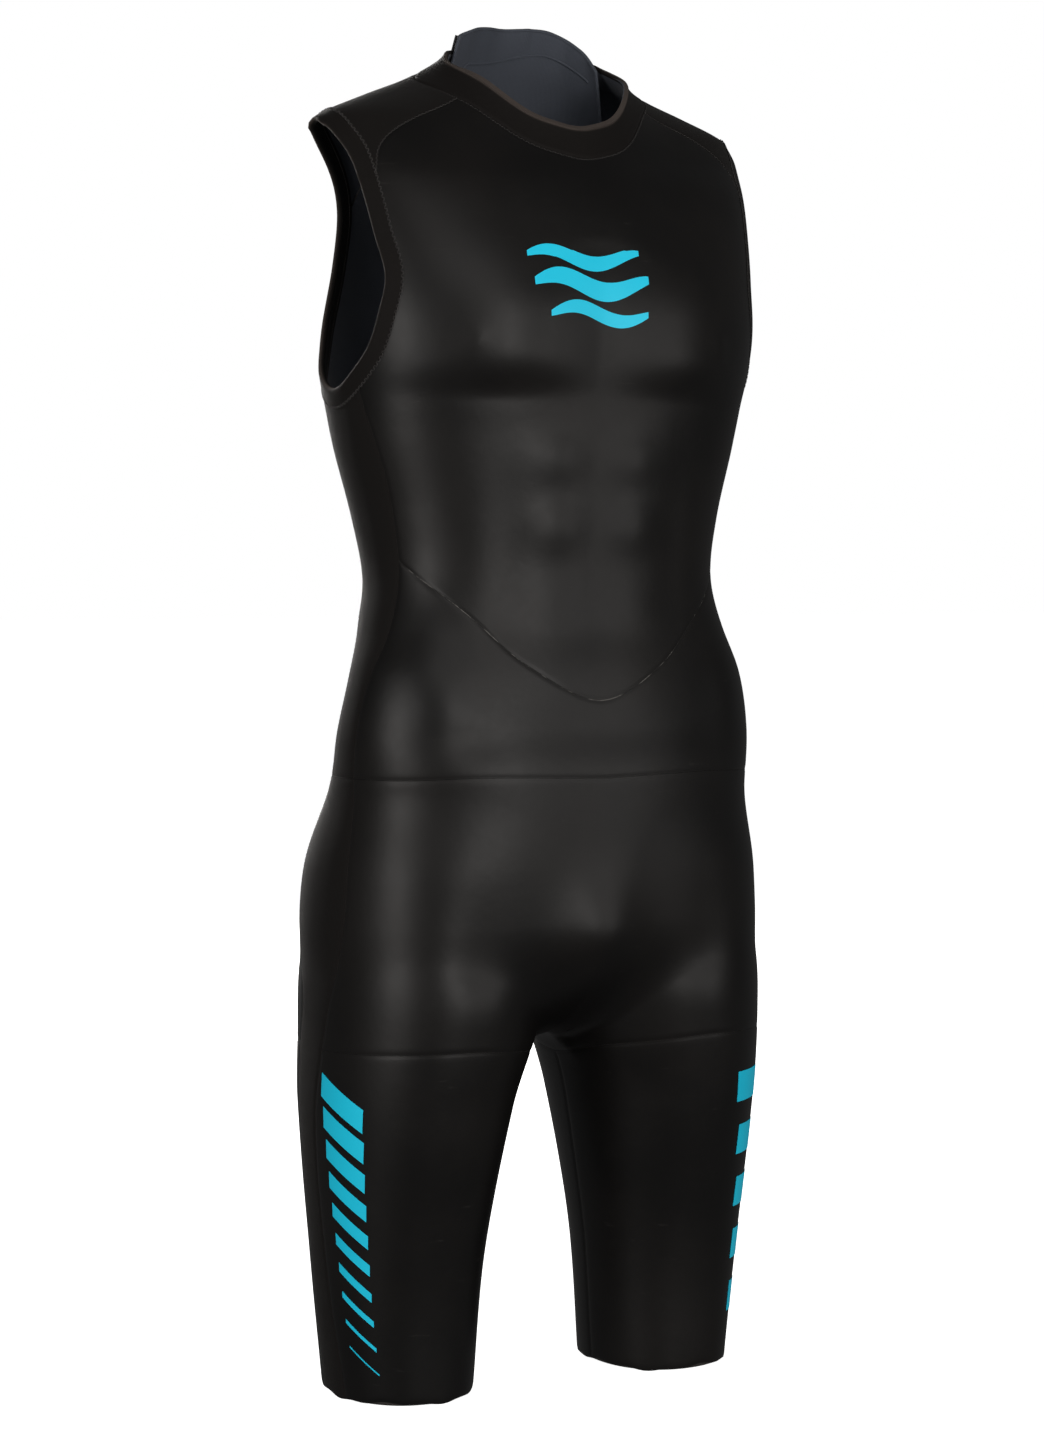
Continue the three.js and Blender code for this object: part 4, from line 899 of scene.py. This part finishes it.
ROLL = 2.6  # half the thickness of the bound edge
arm_normals = unit(slope_of(arm_edge))
to_edge = unit(arm_edge - arm_outside)
section, edge_highlight_weight = [], []
for turn in np.linspace(-90, 90, 9):
    reach, out = ROLL * math.cos(math.radians(turn)), ROLL * math.sin(math.radians(turn))
    section.append((BINDING - ROLL + reach, out - 2.0))
    # A painted highlight along the rolled edge, palest a little towards its outer face.
    edge_highlight_weight.append(max(0.0, math.cos(math.radians(turn - 25))) ** 8)
flat_run = np.linspace(BINDING - 2 * ROLL, SEAM_GAP, 5)
section += [(reach, mix(0.55, 0.25, i / 4)) for i, reach in enumerate(flat_run)]
section += [(reach, -4.3) for reach in flat_run[::-1]]
edge_highlight_weight += [0.0] * (2 * len(flat_run))
for label, flip in (("left", [1, 1, 1]), ("right", [-1, 1, 1])):
    rings = [
        [(outside + way * reach + normal * out) * flip for reach, out in section]
        for outside, way, normal in zip(arm_outside, to_edge, arm_normals)
    ]
    name = f"{label}_armhole_binding"
    ring_piece(rings, name, "panel_jersey", (bound,), np.array(edge_highlight_weight), replaces=(name,))
print("bindings made,", len(section), "points to a section")

# %% [markdown]
# The collar is a low standing band, open at the nape where the zip ends. Its top edge is turned over and sewn,
# which leaves a soft round rim, painted paler than the band as a highlight.

# %% Collar band and its rim
collar_low = chain(collar_side, collar_nape)
collar_high = chain(collar_run(YOKE_FRONT, YOKE_BACK, 4, collar_rise), nape_run(collar_rise))
low_run = chain(mirrored(collar_low)[::-1], throat, collar_low)
throat_top = collar_run(-YOKE_FRONT, YOKE_FRONT, 8, collar_rise)
high_run = chain(mirrored(collar_high)[::-1], throat_top, collar_high)
left_end = seam([low_run[0], high_run[0]], 4)
left_end[:, 0] = -ZIP_HALF
collar = patch(low_run, mirrored(left_end), high_run, left_end)
collar_cloth = ("smooth_neoprene", (bound, lining, bound))
# The band's top edge gets a painted highlight from the binding finish.
cloth_panel("collar_band", collar_cloth, [collar], dips={"top": 0.25, "bottom": 0.9}, free=("top",))
RIM = 1.9
normals_of = lambda run: unit(slope_of(run))


def bead(run, out, radius, name, slot, finish, sides=8, wear_and_highlight=0.0, lit=0.0):
    """A round bead along a run of points; out points out of the cloth. It carries a painted highlight, palest
    at the turn lit.
    """
    along = unit(np.gradient(run, axis=0))
    across = unit(np.cross(along, out))
    away = np.cross(across, along)
    turns = np.linspace(0, math.tau, sides, endpoint=False)
    spokes = [(radius * math.cos(turn), radius * math.sin(turn)) for turn in turns]
    rings = [[p + rise * o + aside * a for rise, aside in spokes] for p, o, a in zip(run, away, across)]
    return ring_piece(rings, name, slot, (finish,), wear_and_highlight * np.maximum(0, np.cos(turns - lit)) ** 6)


rim_path = high_run - unit(slope_of(high_run)) * 2.0
rim_path[:, 2] -= 0.6
# The rim bead's paler turn is a painted highlight.
bead(rim_path, normals_of(rim_path), RIM, "collar_rim", "smooth_neoprene", bound, 12, 1.0, math.radians(-50))
print("collar made")

# %% [markdown]
# Inside the nape stands a soft flap, so that the zip and its closure never touch the neck. It is one curved
# sheet of lined jersey, higher than the collar at the back, with a turned edge and a facing sewn across. It
# doesn't lie on the form, so its grid is drawn from an oval a few millimetres inside the neck.

# %% Sheets that stand free of the form


def free_sheet(name, slot, grid, facing, finish, thick):
    """A sheet from a grid of points. facing points out of its outer face, and its thickness goes inwards."""
    bm = bmesh.new()
    up, along = lengths(grid, 0), lengths(grid, 1)
    add_grid(bm, grid, weave=np.stack([along, up, 0 * up], -1) * MM)
    bm.normal_update()
    if sum(facing(f.calc_center_median()).dot(f.normal) for f in bm.faces) < 0:
        bmesh.ops.reverse_faces(bm, faces=bm.faces)
    bm = applied(bm, thickness=thick, offset=-1.0, material_offset=1, material_offset_rim=2)
    return finished(bm, name, slot, (finish, finish, finish), replaces=(name,))


# %% Inner neck flap
FLAP_START, FLAP_END = 104, 238
flap_top = profile(
    (FLAP_START, TIP + 54), (122, TIP + 71), (150, TIP + 84), (185, TIP + 84), (212, TIP + 82),
    (FLAP_END, TIP + 73),
)
FLAP_FOOT, FLAP_DEPTH = TIP + 10.0, NEOPRENE + 1.0
flap_angles = np.linspace(FLAP_START, FLAP_END, 14 * REFINE + 1)[None, :]
flap_levels = np.linspace(0, 1, 6 * REFINE + 1)[:, None]


def flap_grid(angle, level, extra=0.0):
    """Points of the flap, at angles round the neck and levels from its foot: it leans in and ripples."""
    z = mix(FLAP_FOOT, flap_top(angle), level)
    turn = np.radians(angle)
    ripple = 0.9 * np.sin(turn * 7 + 1) + 0.6 * np.sin(turn * 15)
    fold = 1.6 * np.exp(-(((angle - 166) / 3.0) ** 2)) * smoothstep(level, 0.72, 1.0)
    depth = FLAP_DEPTH + 0.4 + 1.1 * level**2 * (1 + ripple) + fold + extra
    half, deep = neck_width(z) - depth, (spine_y(z) + neck_depth(z)) / 2 - depth
    middle = (spine_y(z) - neck_depth(z)) / 2
    return np.stack([half * np.sin(turn), middle - deep * np.cos(turn), z + 0 * turn], -1)


NECK_AXIS = np.array([0, 4, 0])
from_neck = lambda place: Vector((place.x, place.y - NECK_AXIS[1], 0))
level_out = lambda run: unit((run - NECK_AXIS) * [1, 1, 0])
flap = flap_grid(flap_angles, flap_levels)
FLAP_THICK = JERSEY - 0.8
free_sheet("neck_inner_flap", "lining_jersey", flap, from_neck, lining, FLAP_THICK)
rise, fall = flap_levels[:, 0], flap_levels[::-1, 0][1:]
border = flap_grid(
    np.concatenate([np.full(rise.size, FLAP_START), flap_angles[0, 1:], np.full(fall.size, FLAP_END)]),
    np.concatenate([rise, np.ones(flap_angles.size - 1), fall]), FLAP_THICK / 2,
)
border[:, 2] -= 0.9
bead(border, level_out(border), FLAP_THICK / 2 + 0.25, "neck_flap_turned_edge", "lining_jersey", lining)
facing_angles = np.linspace(FLAP_START + 9, FLAP_END - 3, 60)
facing_levels = 0.7 + 0.06 * np.sin(np.radians(facing_angles * 3))
facing_levels -= 0.25 * smoothstep(facing_angles, 212, FLAP_END)
facing_run = flap_grid(facing_angles, facing_levels, FLAP_THICK + 0.1)
bead(facing_run, level_out(facing_run), 1.0, "neck_flap_facing_seam", "lining_jersey", lining, 6)
print("flap", round(float(flap_top(150) - FLAP_FOOT)), "mm high at the nape")

# %% [markdown]
# ## Stitches
# A stitch is one short loop of thread lying on the cloth. Each is a small stretched ball, and rows of them
# follow a seam, straight for topstitching or zigzag where two sheets have to stretch together. A second row
# runs inside each armhole, where the binding's back edge is held down.


# %% Rows of stitches
def stitch_row(run, out, pitch, length, width, sway=0.0, lift=0.15):
    """Centres, directions and sizes of stitches along a run. sway is how far a zigzag swings to each side."""
    travel = np.concatenate([[0], np.cumsum(np.linalg.norm(np.diff(run, axis=0), axis=1))])
    count = max(2, int(travel[-1] / pitch))
    at = lambda values, goal: np.stack([np.interp(goal, travel, values[:, k]) for k in range(3)], -1)
    goals = (np.arange(count) + 0.5) * travel[-1] / count
    place, normal = at(run, goals), unit(at(out, goals))
    along = unit(at(run, goals + 0.4) - at(run, goals - 0.4))
    across = unit(np.cross(normal, along))
    if sway:
        swing = np.where(np.arange(count) % 2, 1.0, -1.0)[:, None]
        along = unit(along * pitch + across * swing * 2 * sway)
    return [(p + n * lift, a, n, length, width) for p, a, n in zip(place, along, normal)]


def in_batches(items, make, size=48):
    """One bmesh of many small parts, made a few at a time: an operator slows down as its mesh grows."""
    whole = bmesh.new()
    for first in range(0, len(items), size):
        few = bmesh.new()
        for item in items[first : first + size]:
            make(few, item)
        mesh = bpy.data.meshes.new("batch")
        few.to_mesh(mesh)
        few.free()
        whole.from_mesh(mesh)
        bpy.data.meshes.remove(mesh)
    return whole


def one_stitch(bm, stitch):
    """A stretched ball lying along its thread."""
    place, along, normal, length, width = stitch
    across = np.cross(normal, along)
    axes = [along * length / 2, across * width / 2, np.cross(along, across) * width * 0.4]
    placed = Matrix.Translation(place) @ Matrix([Vector(a) for a in axes]).transposed().to_4x4()
    bmesh.ops.create_uvsphere(bm, u_segments=6, v_segments=4, radius=1.0, matrix=placed)


def stitches(name, rows, body="suit"):
    """A piece made of many stitches."""
    bm = in_batches(rows, one_stitch)
    bmesh.ops.recalc_face_normals(bm, faces=bm.faces)
    return finished(bm, name, "zip_tape", (thread,), body)


def flip_rows(rows):
    """Rows of stitches for the wearer's other side."""
    return [(*(mirrored(vector) for vector in stitch[:3]), *stitch[3:]) for stitch in rows]


ring_out = arm_outside - to_edge * 0.4
inner_line = arm_outside + to_edge * 3.2
arm_rows = stitch_row(ring_out, arm_normals, 2.2, 3.4, 0.85, 1.5, 0.3)
arm_rows += stitch_row(inner_line, -arm_normals, 2.2, 1.7, 0.7, 0.0, 4.45)
base_line = low_run - [0, 0, 0.9]
rim_line = high_run - [0, 0, 3.6]
yoke_rows = []
for run in (yoke_front, yoke_back):
    yoke_rows += stitch_row(run, normals_of(run), 1.7, 2.6, 0.5, 0.9, 0.0)
zip_line = onto_form(zip_side[REFINE:-2] + [3.2, 0, 0], 3)
zip_rows = stitch_row(zip_line, normals_of(zip_line), 2.5, 1.8, 0.55, 0.0, 0.08)
stitches("left_armhole_stitches", arm_rows)
stitches("right_armhole_stitches", flip_rows(arm_rows))
stitches("collar_base_stitches", stitch_row(base_line, normals_of(base_line), 2.1, 2.2, 0.6, 0.8))
stitches("collar_rim_stitches", stitch_row(rim_line, normals_of(rim_line), 2.4, 1.7, 0.45, 0.0, 0.05))
stitches("left_shoulder_stitches", yoke_rows)
stitches("right_shoulder_stitches", flip_rows(yoke_rows))
stitches("zip_edge_stitches", zip_rows + flip_rows(zip_rows))
stitches("neck_flap_stitches", stitch_row(facing_run, -level_out(facing_run), 2.6, 1.7, 0.45, 0.0, 0.75))
print("stitches at the armholes", 2 * len(arm_rows))

# %% [markdown]
# Blind-stitched and glued seams show a fine broken line of dried glue. The belly seam has the most of it.

# %% The glued belly seam
glue_run = belly - normals_of(belly) * 0.42
bead(glue_run, normals_of(glue_run), 0.3, "belly_seam_glue", "smooth_neoprene", glue, 6)

# %% [markdown]
# ## Prints
# The prints lie on the chest and thighs as a thin layer of rubbery ink. Each is a small grid laid on the form
# and given a hair's thickness. The chest has three stacked waves, the right thigh a ladder of slanted bars
# that thin downwards, and the left thigh plain blocks.

# %% Ink laid on the form
INK_LIFT, INK_THICK = 0.14, 0.22


def printed(name, grids):
    """Thin ink over grids of points that are first laid on the form."""
    bm = bmesh.new()
    for grid in grids:
        laid = onto_form(grid)
        add_grid(bm, laid + normals_of(laid) * INK_LIFT)
    outward_facing(bm)
    bm = applied(bm, thickness=INK_THICK, offset=1.0)
    return finished(bm, name, "smooth_neoprene", (ink, ink, ink))


def wave_band(low, x_from, x_to, height, swing, turns, phase):
    """A grid over the chest between two waves that meet in points at both ends."""
    u = np.linspace(0, 1, 15 * REFINE + 1)[None, :]
    v = np.linspace(0, 1, REFINE + 1)[:, None]
    body = height * np.sin(math.pi * (0.04 + 0.92 * u)) ** 0.45
    z = low + swing * np.sin(math.tau * turns * u + phase) + body * (v - 0.5)
    x = mix(x_from, x_to, u) + 0 * v
    return np.stack([x, -front_depth(z) - 6, z], -1)


printed("chest_wave_print", [
    wave_band(CHEST + 33, -64, 30, 11, 5.0, 1.15, 0.4),
    wave_band(CHEST + 13, -60, 36, 15, 5.5, 1.15, 0.1),
    wave_band(CHEST - 9, -48, 34, 11, 5.0, 1.05, -0.2),
])


def leg_grid(way, angle_from, angle_to, bottoms, heights, columns=6, rows=3):
    """A grid on a leg between two angles; bottoms and heights are for its first and last column."""
    u = np.linspace(0, 1, columns * REFINE // 2 + 1)[None, :]
    v = np.linspace(0, 1, rows * REFINE // 2 + 1)[:, None]
    z = mix(bottoms[0], bottoms[1], u) + mix(heights[0], heights[1], u) * v
    turn = np.radians(mix(angle_from, angle_to, u)) + 0 * v
    x = leg_middle(z) + leg_half(z) * np.sin(turn)
    y = leg_shift(z) - leg_depth(z) * np.cos(turn)
    return np.stack([way * x, y, z], -1)


BARS, BLOCKS = 10, 5
bars = []
for share in np.linspace(0, 1, BARS):
    thin = mix(17.7, 1.2, share)
    foot = 225 - 200 * (1.12 * share - 0.12 * share**2) - thin
    feet = (foot, foot + mix(23, 19, share))
    bars.append(leg_grid(-1, mix(52, 42, share), mix(81, 64, share), feet, (thin, thin)))
printed("right_thigh_bar_print", bars)
blocks = [
    leg_grid(1, mix(19, 38, share), mix(46, 63, share), (mix(212, 40, share),) * 2, (24, 24))
    for share in np.linspace(0, 1, BLOCKS)
]
printed("left_thigh_block_print", blocks)
print(len(bars), "bars and", len(blocks), "blocks printed")

# %% [markdown]
# ## The zip
# The back bends on one arc, so every part of the zip is a flat shape wrapped round that arc. Each tooth is a
# small moulded block with a head on the tape's inner edge; two rows of them stand either side of a slot that
# the slider's post runs in. The tapes are woven, so they get ridges along their length.

# %% The spine's arc
bend_at = lambda z: np.arcsin((z - SPINE_HEIGHT) / SPINE_RADIUS)


def arc_point(x, out, bend):
    """A point at a distance sideways and out of the spine's arc, at a bend along it."""
    reach = SPINE_RADIUS + out
    return np.array([x + 0 * bend, SPINE_Y + reach * np.cos(bend), SPINE_HEIGHT + reach * np.sin(bend)]).T


def arc_frame(x, out, bend):
    """A matrix whose axes are sideways, up the zip and out of the back."""
    up = Vector((0, -math.sin(bend), math.cos(bend)))
    away = Vector((0, math.cos(bend), math.sin(bend)))
    turn = Matrix([Vector((1, 0, 0)), up, away]).transposed().to_4x4()
    return Matrix.Translation(arc_point(x, out, bend)) @ turn


# %% Teeth
CHAIN_SLOT, CHAIN_WIDTH, CHAIN_OUT, CHAIN_THICK = 1.3, 2.0, 0.4, 3.0
TOOTH_PITCH, TOOTH_LONG, TOOTH_BEVEL = 2.3, 1.25, 0.13
pitch_bend, half_pitch = TOOTH_PITCH / SPINE_RADIUS, 0.5 * TOOTH_PITCH / SPINE_RADIUS
bends = np.arange(bend_at(ZIP_FOOT) + half_pitch, bend_at(ZIP_TOP), pitch_bend)
# Where each part of a tooth starts and ends, and its shares of the tooth's length and thickness
HEAD, SHANK = (0.0, 0.8, 1.15, 0.8), (0.8, CHAIN_WIDTH, 0.75, 1.0)


def one_tooth(bm, tooth):
    """A head beside the slot and a narrower shank behind it."""
    way, bend = tooth
    for near, far, long, thick in (HEAD, SHANK):
        place = arc_frame(way * (CHAIN_SLOT + (near + far) / 2), CHAIN_OUT - CHAIN_THICK / 2, bend)
        size = Matrix.Diagonal((far - near, TOOTH_LONG * long, CHAIN_THICK * thick, 1))
        bmesh.ops.create_cube(bm, size=1.0, matrix=place @ size)


SIDES = (("left", 1), ("right", -1))
last_bend = bend_at(ZIP_TOP) - 0.8 * TOOTH_LONG / SPINE_RADIUS
for label, way in SIDES:
    stagger = half_pitch if way < 0 else 0
    bm = in_batches([(way, bend + stagger) for bend in bends if bend + stagger < last_bend], one_tooth)
    bmesh.ops.bevel(
        bm, geom=bm.edges[:], offset=TOOTH_BEVEL, offset_type="OFFSET", segments=1, profile=0.5,
        affect="EDGES", material=-1,
    )
    name = f"{label}_zip_chain"
    finished(bm, name, "zip_plastic", (plastic,), replaces=(name,))
print(len(bends), "teeth a side")

# %% Tapes
TAPE_IN, TAPE_OUT = CHAIN_SLOT + CHAIN_WIDTH + SEAM_GAP, ZIP_HALF - SEAM_GAP
tape_bends = np.linspace(bend_at(ZIP_FOOT - 10 + SEAM_GAP), bend_at(float(collar_base(180)) - 1), 60)
from_spine = lambda place: Vector((0, place.y - SPINE_Y, place.z - SPINE_HEIGHT))
across = np.linspace(TAPE_IN, TAPE_OUT, 25)
ribs_high = -0.62 + 0.09 * np.sin(across * math.tau / 1.7)
heights = ribs_high + 0.25 * np.exp(-(((across - TAPE_IN) / 0.9) ** 2))
for label, way in SIDES:
    grid = [[arc_point(way * x, out, bend) for x, out in zip(across, heights)] for bend in tape_bends]
    free_sheet(f"{label}_zip_tape", "zip_tape", np.array(grid), from_spine, tape, 1.0)

# %% Flap behind the zip
under_heights = np.concatenate([[zip_side[0, 2] - 6], np.linspace(zip_side[0, 2], TIP + 12, 60)])
UNDER_HALF, UNDER_GAP, UNDER_THICK = 24.0, 0.9, 2.0
under_across = np.linspace(-UNDER_HALF, UNDER_HALF, 25)
under = onto_form(np.array([[(x, spine_y(z), z) for x in under_across] for z in under_heights]))
under -= normals_of(under) * (NEOPRENE + UNDER_GAP)
free_sheet("zip_underflap", "lining_jersey", under, from_spine, lining, UNDER_THICK)
print("tapes", round(TAPE_OUT - TAPE_IN, 1), "mm wide")

# %% [markdown]
# ## The closure at the nape
# A jersey tab crosses the zip's top and grips with hooks on a patch of loops. Tab and patches are curved
# blocks with softly turned edges, and both patches have a rough nap.

# %% Closure tab and patches
COLLAR_BACK, TAB_HEIGHT = 34.0, 24.0
TAB_FOOT = float(collar_base(180)) + (COLLAR_BACK - TAB_HEIGHT) / 2
PATCH_GAP, PATCH_THICK = 2 * SEAM_GAP, 1.0
TAB_REST = 3 * PATCH_GAP + 2 * PATCH_THICK
tab_stand = lambda angle: mix(PATCH_GAP, TAB_REST, smoothstep(angle, 160, 184))


def round_neck(start, end, low, high, stand, columns, rows, round_by=0.0):
    """A grid outside the collar; its corners are rounded at its last end."""
    share = np.maximum(0.0, 1.4 * np.arange(1 - columns, 2) - 1.4 + round_by) / max(round_by, 1e-6)
    pinch = round_by * (1 - np.sqrt(np.maximum(0.0, 1 - share * share)))
    levels = np.linspace(0, 1, rows + 1)[:, None]
    angles = np.linspace(start, end, columns + 1)[None, :] + 0 * levels
    grid = on_neck(angles, mix(low + pinch, high - pinch, levels))
    return grid + unit(slope_of(grid) * [1, 1, 0]) * stand(angles)[..., None]


END_INSET, EDGE_DROP = 0.35, 0.21  # millimetres at the ends, and a share of the thickness along the edges


def soft_block(name, slot, grid, thick, finish, body):
    """A curved block with softened edges, its outer face at the grid plus its thickness."""
    out = unit(slope_of(grid) * [1, 1, 0])
    rows, columns = grid.shape[:2]
    lift = np.linspace(0, 1, rows)
    puff = EDGE_DROP * thick * ((4 * lift * (1 - lift)) ** 0.35 - 1)
    rings = []
    for i in range(columns):
        column, way = grid[:, i], out[:, i]
        soft = END_INSET if i in (0, columns - 1) else 0.0
        outer = column + way * (thick - soft + puff)[:, None]
        rings.append(np.vstack([column + way * soft, outer[::-1]]))
    return ring_piece(rings, name, slot, (finish,), body=body, replaces=(name,))


tab_grid = round_neck(152, 214, TAB_FOOT, TAB_FOOT + TAB_HEIGHT, tab_stand, 30, 10, 5.0)
soft_block("collar_closure_tab", "panel_jersey", tab_grid, JERSEY, jersey, "closure")
patch_span = (TAB_FOOT + 1, TAB_FOOT + TAB_HEIGHT - 1)
loop_grid = round_neck(193, 230, *patch_span, lambda a: PATCH_GAP + 0 * a, 16, 8)
soft_block("closure_loop_patch", "hook_and_loop", loop_grid, PATCH_THICK, pile, "suit")
hook_grid = round_neck(194, 212, *patch_span, lambda a: 2 * PATCH_GAP + PATCH_THICK + 0 * a, 8, 8)
soft_block("closure_hook_patch", "hook_and_loop", hook_grid, PATCH_THICK, pile, "closure")
tab_out = unit(slope_of(tab_grid) * [1, 1, 0])
inset = tab_grid + tab_out * (JERSEY - 0.25)
tab_edge, tab_edge_out = (
    np.vstack([points[1, 1:-2], points[1:-1, -3], points[-2, 1:-2][::-1]]) for points in (inset, tab_out)
)
stitches("closure_tab_stitches", stitch_row(tab_edge, tab_edge_out, 2.3, 1.6, 0.5), "closure")
print("closure tab", TAB_HEIGHT, "mm high")

# %% [markdown]
# ## Metal of the zip
# The slider, its pull and the stops keep their CAD shape. Cast edges are slightly round, so a fine bevel
# catches the light there, and satin metal covers them.

# %% Slider, pull and stops
for name in ("zip_slider", "zip_pull_tab", "left_zip_top_stop", "right_zip_top_stop", "zip_bottom_stop"):
    node = frame["nodes"][name]
    node.data.materials.clear()
    node.data.materials.append(metal.material)
    weld = node.modifiers.new("weld", "WELD")
    weld.merge_threshold = 0.02 * MM
    soften = node.modifiers.new("soften", "BEVEL")
    soften.width, soften.segments = 0.25 * MM, 2
    soften.limit_method, soften.angle_limit = "ANGLE", math.radians(35)
print("metal parts finished")

# %% [markdown]
# ## Cloth sizes
# Each sheet's size, as it would be cut, is measured over its own surface and printed. The weave of a folded
# strip runs round both of its faces, so half of that is its width.

# %% Measuring the sheets
SINGLE = (
    "chest_panel", "abdomen_panel", "front_hip_panel", "seat_panel", "lower_back_panel", "collar_band",
    "neck_inner_flap", "zip_underflap",
)
PAIRED = (
    "back_panel", "side_panel", "shoulder_panel", "leg_side_panel", "front_thigh_panel", "back_thigh_panel",
    "zip_tape",
)
FOLDED = ("left_armhole_binding", "right_armhole_binding", "collar_closure_tab")
for name in (*SINGLE, *(f"{label}_{name}" for name in PAIRED for label in ("left", "right")), *FOLDED):
    piece = next(o for o in bpy.data.objects if name in o.get("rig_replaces", []))
    spread = np.array([point.vector for point in piece.data.attributes["weave"].data])
    width, length = (float(c) for c in spread.max(0)[:2] - spread.min(0)[:2])
    if name in FOLDED:
        width /= 2
    area = sum(face.area for face in piece.data.polygons) / 2
    area = min(max(area, 0.31 * width * length), width * length)
    print(f"{piece.name}: {width:.3f} x {length:.3f} m, {area:.4f} m2")

# %% [markdown]
# ## Studio
# White paper lies under the suit in a white room, whose own light is kept low so that the rubber stays dark.
# Five large soft lights shape it: a broad one from the wearer's right, a frontal one, a slim one from the
# left, a high one and one behind. The camera stands at waist height and looks slightly down.

# %% Floor and light
AMBIENT, PAPER_GLOW, FLOOR_SIZE = 0.11, 0.96, 40.0  # how bright the unlit room and the paper are, and metres
scene = bpy.context.scene
bm = bmesh.new()
bmesh.ops.create_grid(bm, x_segments=1, y_segments=1, size=FLOOR_SIZE)
floor_mesh = bpy.data.meshes.new("studio_floor")
bm.to_mesh(floor_mesh)
bm.free()
floor = bpy.data.objects.new("studio_floor", floor_mesh)
scene.collection.objects.link(floor)
paper = Finish("paper_finish", Roughness=0.95, Emission_Strength=PAPER_GLOW)
white = paper.blend(paper.noise(paper.place(), 3.0), rgb(0.95, 0.95, 0.95), rgb(0.97, 0.97, 0.97))
paper.feed("Base Color", white)
paper.feed("Emission Color", white)
floor_mesh.materials.append(paper.material)
floor.visible_diffuse = floor.visible_glossy = False

world = bpy.data.worlds.new("studio")
scene.world = world
world.use_nodes = True
nodes, links = world.node_tree.nodes, world.node_tree.links
sky = nodes["Background"]
sky.inputs["Color"].default_value = rgb(1.0, 1.0, 1.0)
seen = nodes.new("ShaderNodeLightPath")
brightness = nodes.new("ShaderNodeMapRange")
brightness.inputs["To Min"].default_value = AMBIENT
brightness.inputs["To Max"].default_value = 1.0
links.new(seen.outputs["Is Camera Ray"], brightness.inputs["Value"])
links.new(brightness.outputs["Result"], sky.inputs["Strength"])


def softbox(name, azimuth, distance, height, wide, tall, power, aim=0.6):
    """An area light at an azimuth from the front, aimed at a height on the suit's middle."""
    lamp = bpy.data.lights.new(name, "AREA")
    lamp.shape, lamp.size, lamp.size_y, lamp.energy = "RECTANGLE", wide, tall, power
    lamp.color = (1.0, 0.97, 0.94)
    light = bpy.data.objects.new(name, lamp)
    turn = math.radians(azimuth)
    light.location = (math.sin(turn) * distance, -math.cos(turn) * distance, height)
    look = Vector((0, 0, aim)) - light.location
    light.rotation_euler = look.to_track_quat("-Z", "Y").to_euler()
    scene.collection.objects.link(light)
    return light


softbox("broad_light", -66, 2.6, 0.6, 0.8, 1.0, 26)
softbox("front_light", 0, 3.2, 0.76, 0.95, 1.2, 33)
softbox("slim_light", 32, 3.0, 0.66, 0.35, 1.3, 13)
softbox("high_light", -20, 3.2, 2.6, 2.4, 1.2, 24, 0.8)
softbox("back_light", 175, 3.0, 1.4, 1.6, 1.8, 90)

# %% Camera
TURN, FAR, HIGH, DIP = math.radians(-29), 2.465, 0.615, math.radians(2.55)
camera_data = bpy.data.cameras.new("camera")
camera_data.lens, camera_data.sensor_width, camera_data.shift_x = 80.6, 36.0, -0.007
camera = bpy.data.objects.new("camera", camera_data)
camera.location = Vector((math.sin(TURN) * FAR, -math.cos(TURN) * FAR, HIGH)) + Vector(SHIFT) * MM
camera.rotation_euler = (math.pi / 2 - DIP, 0, TURN)
scene.collection.objects.link(camera)
scene.camera = camera
scene.view_settings.view_transform = "Standard"
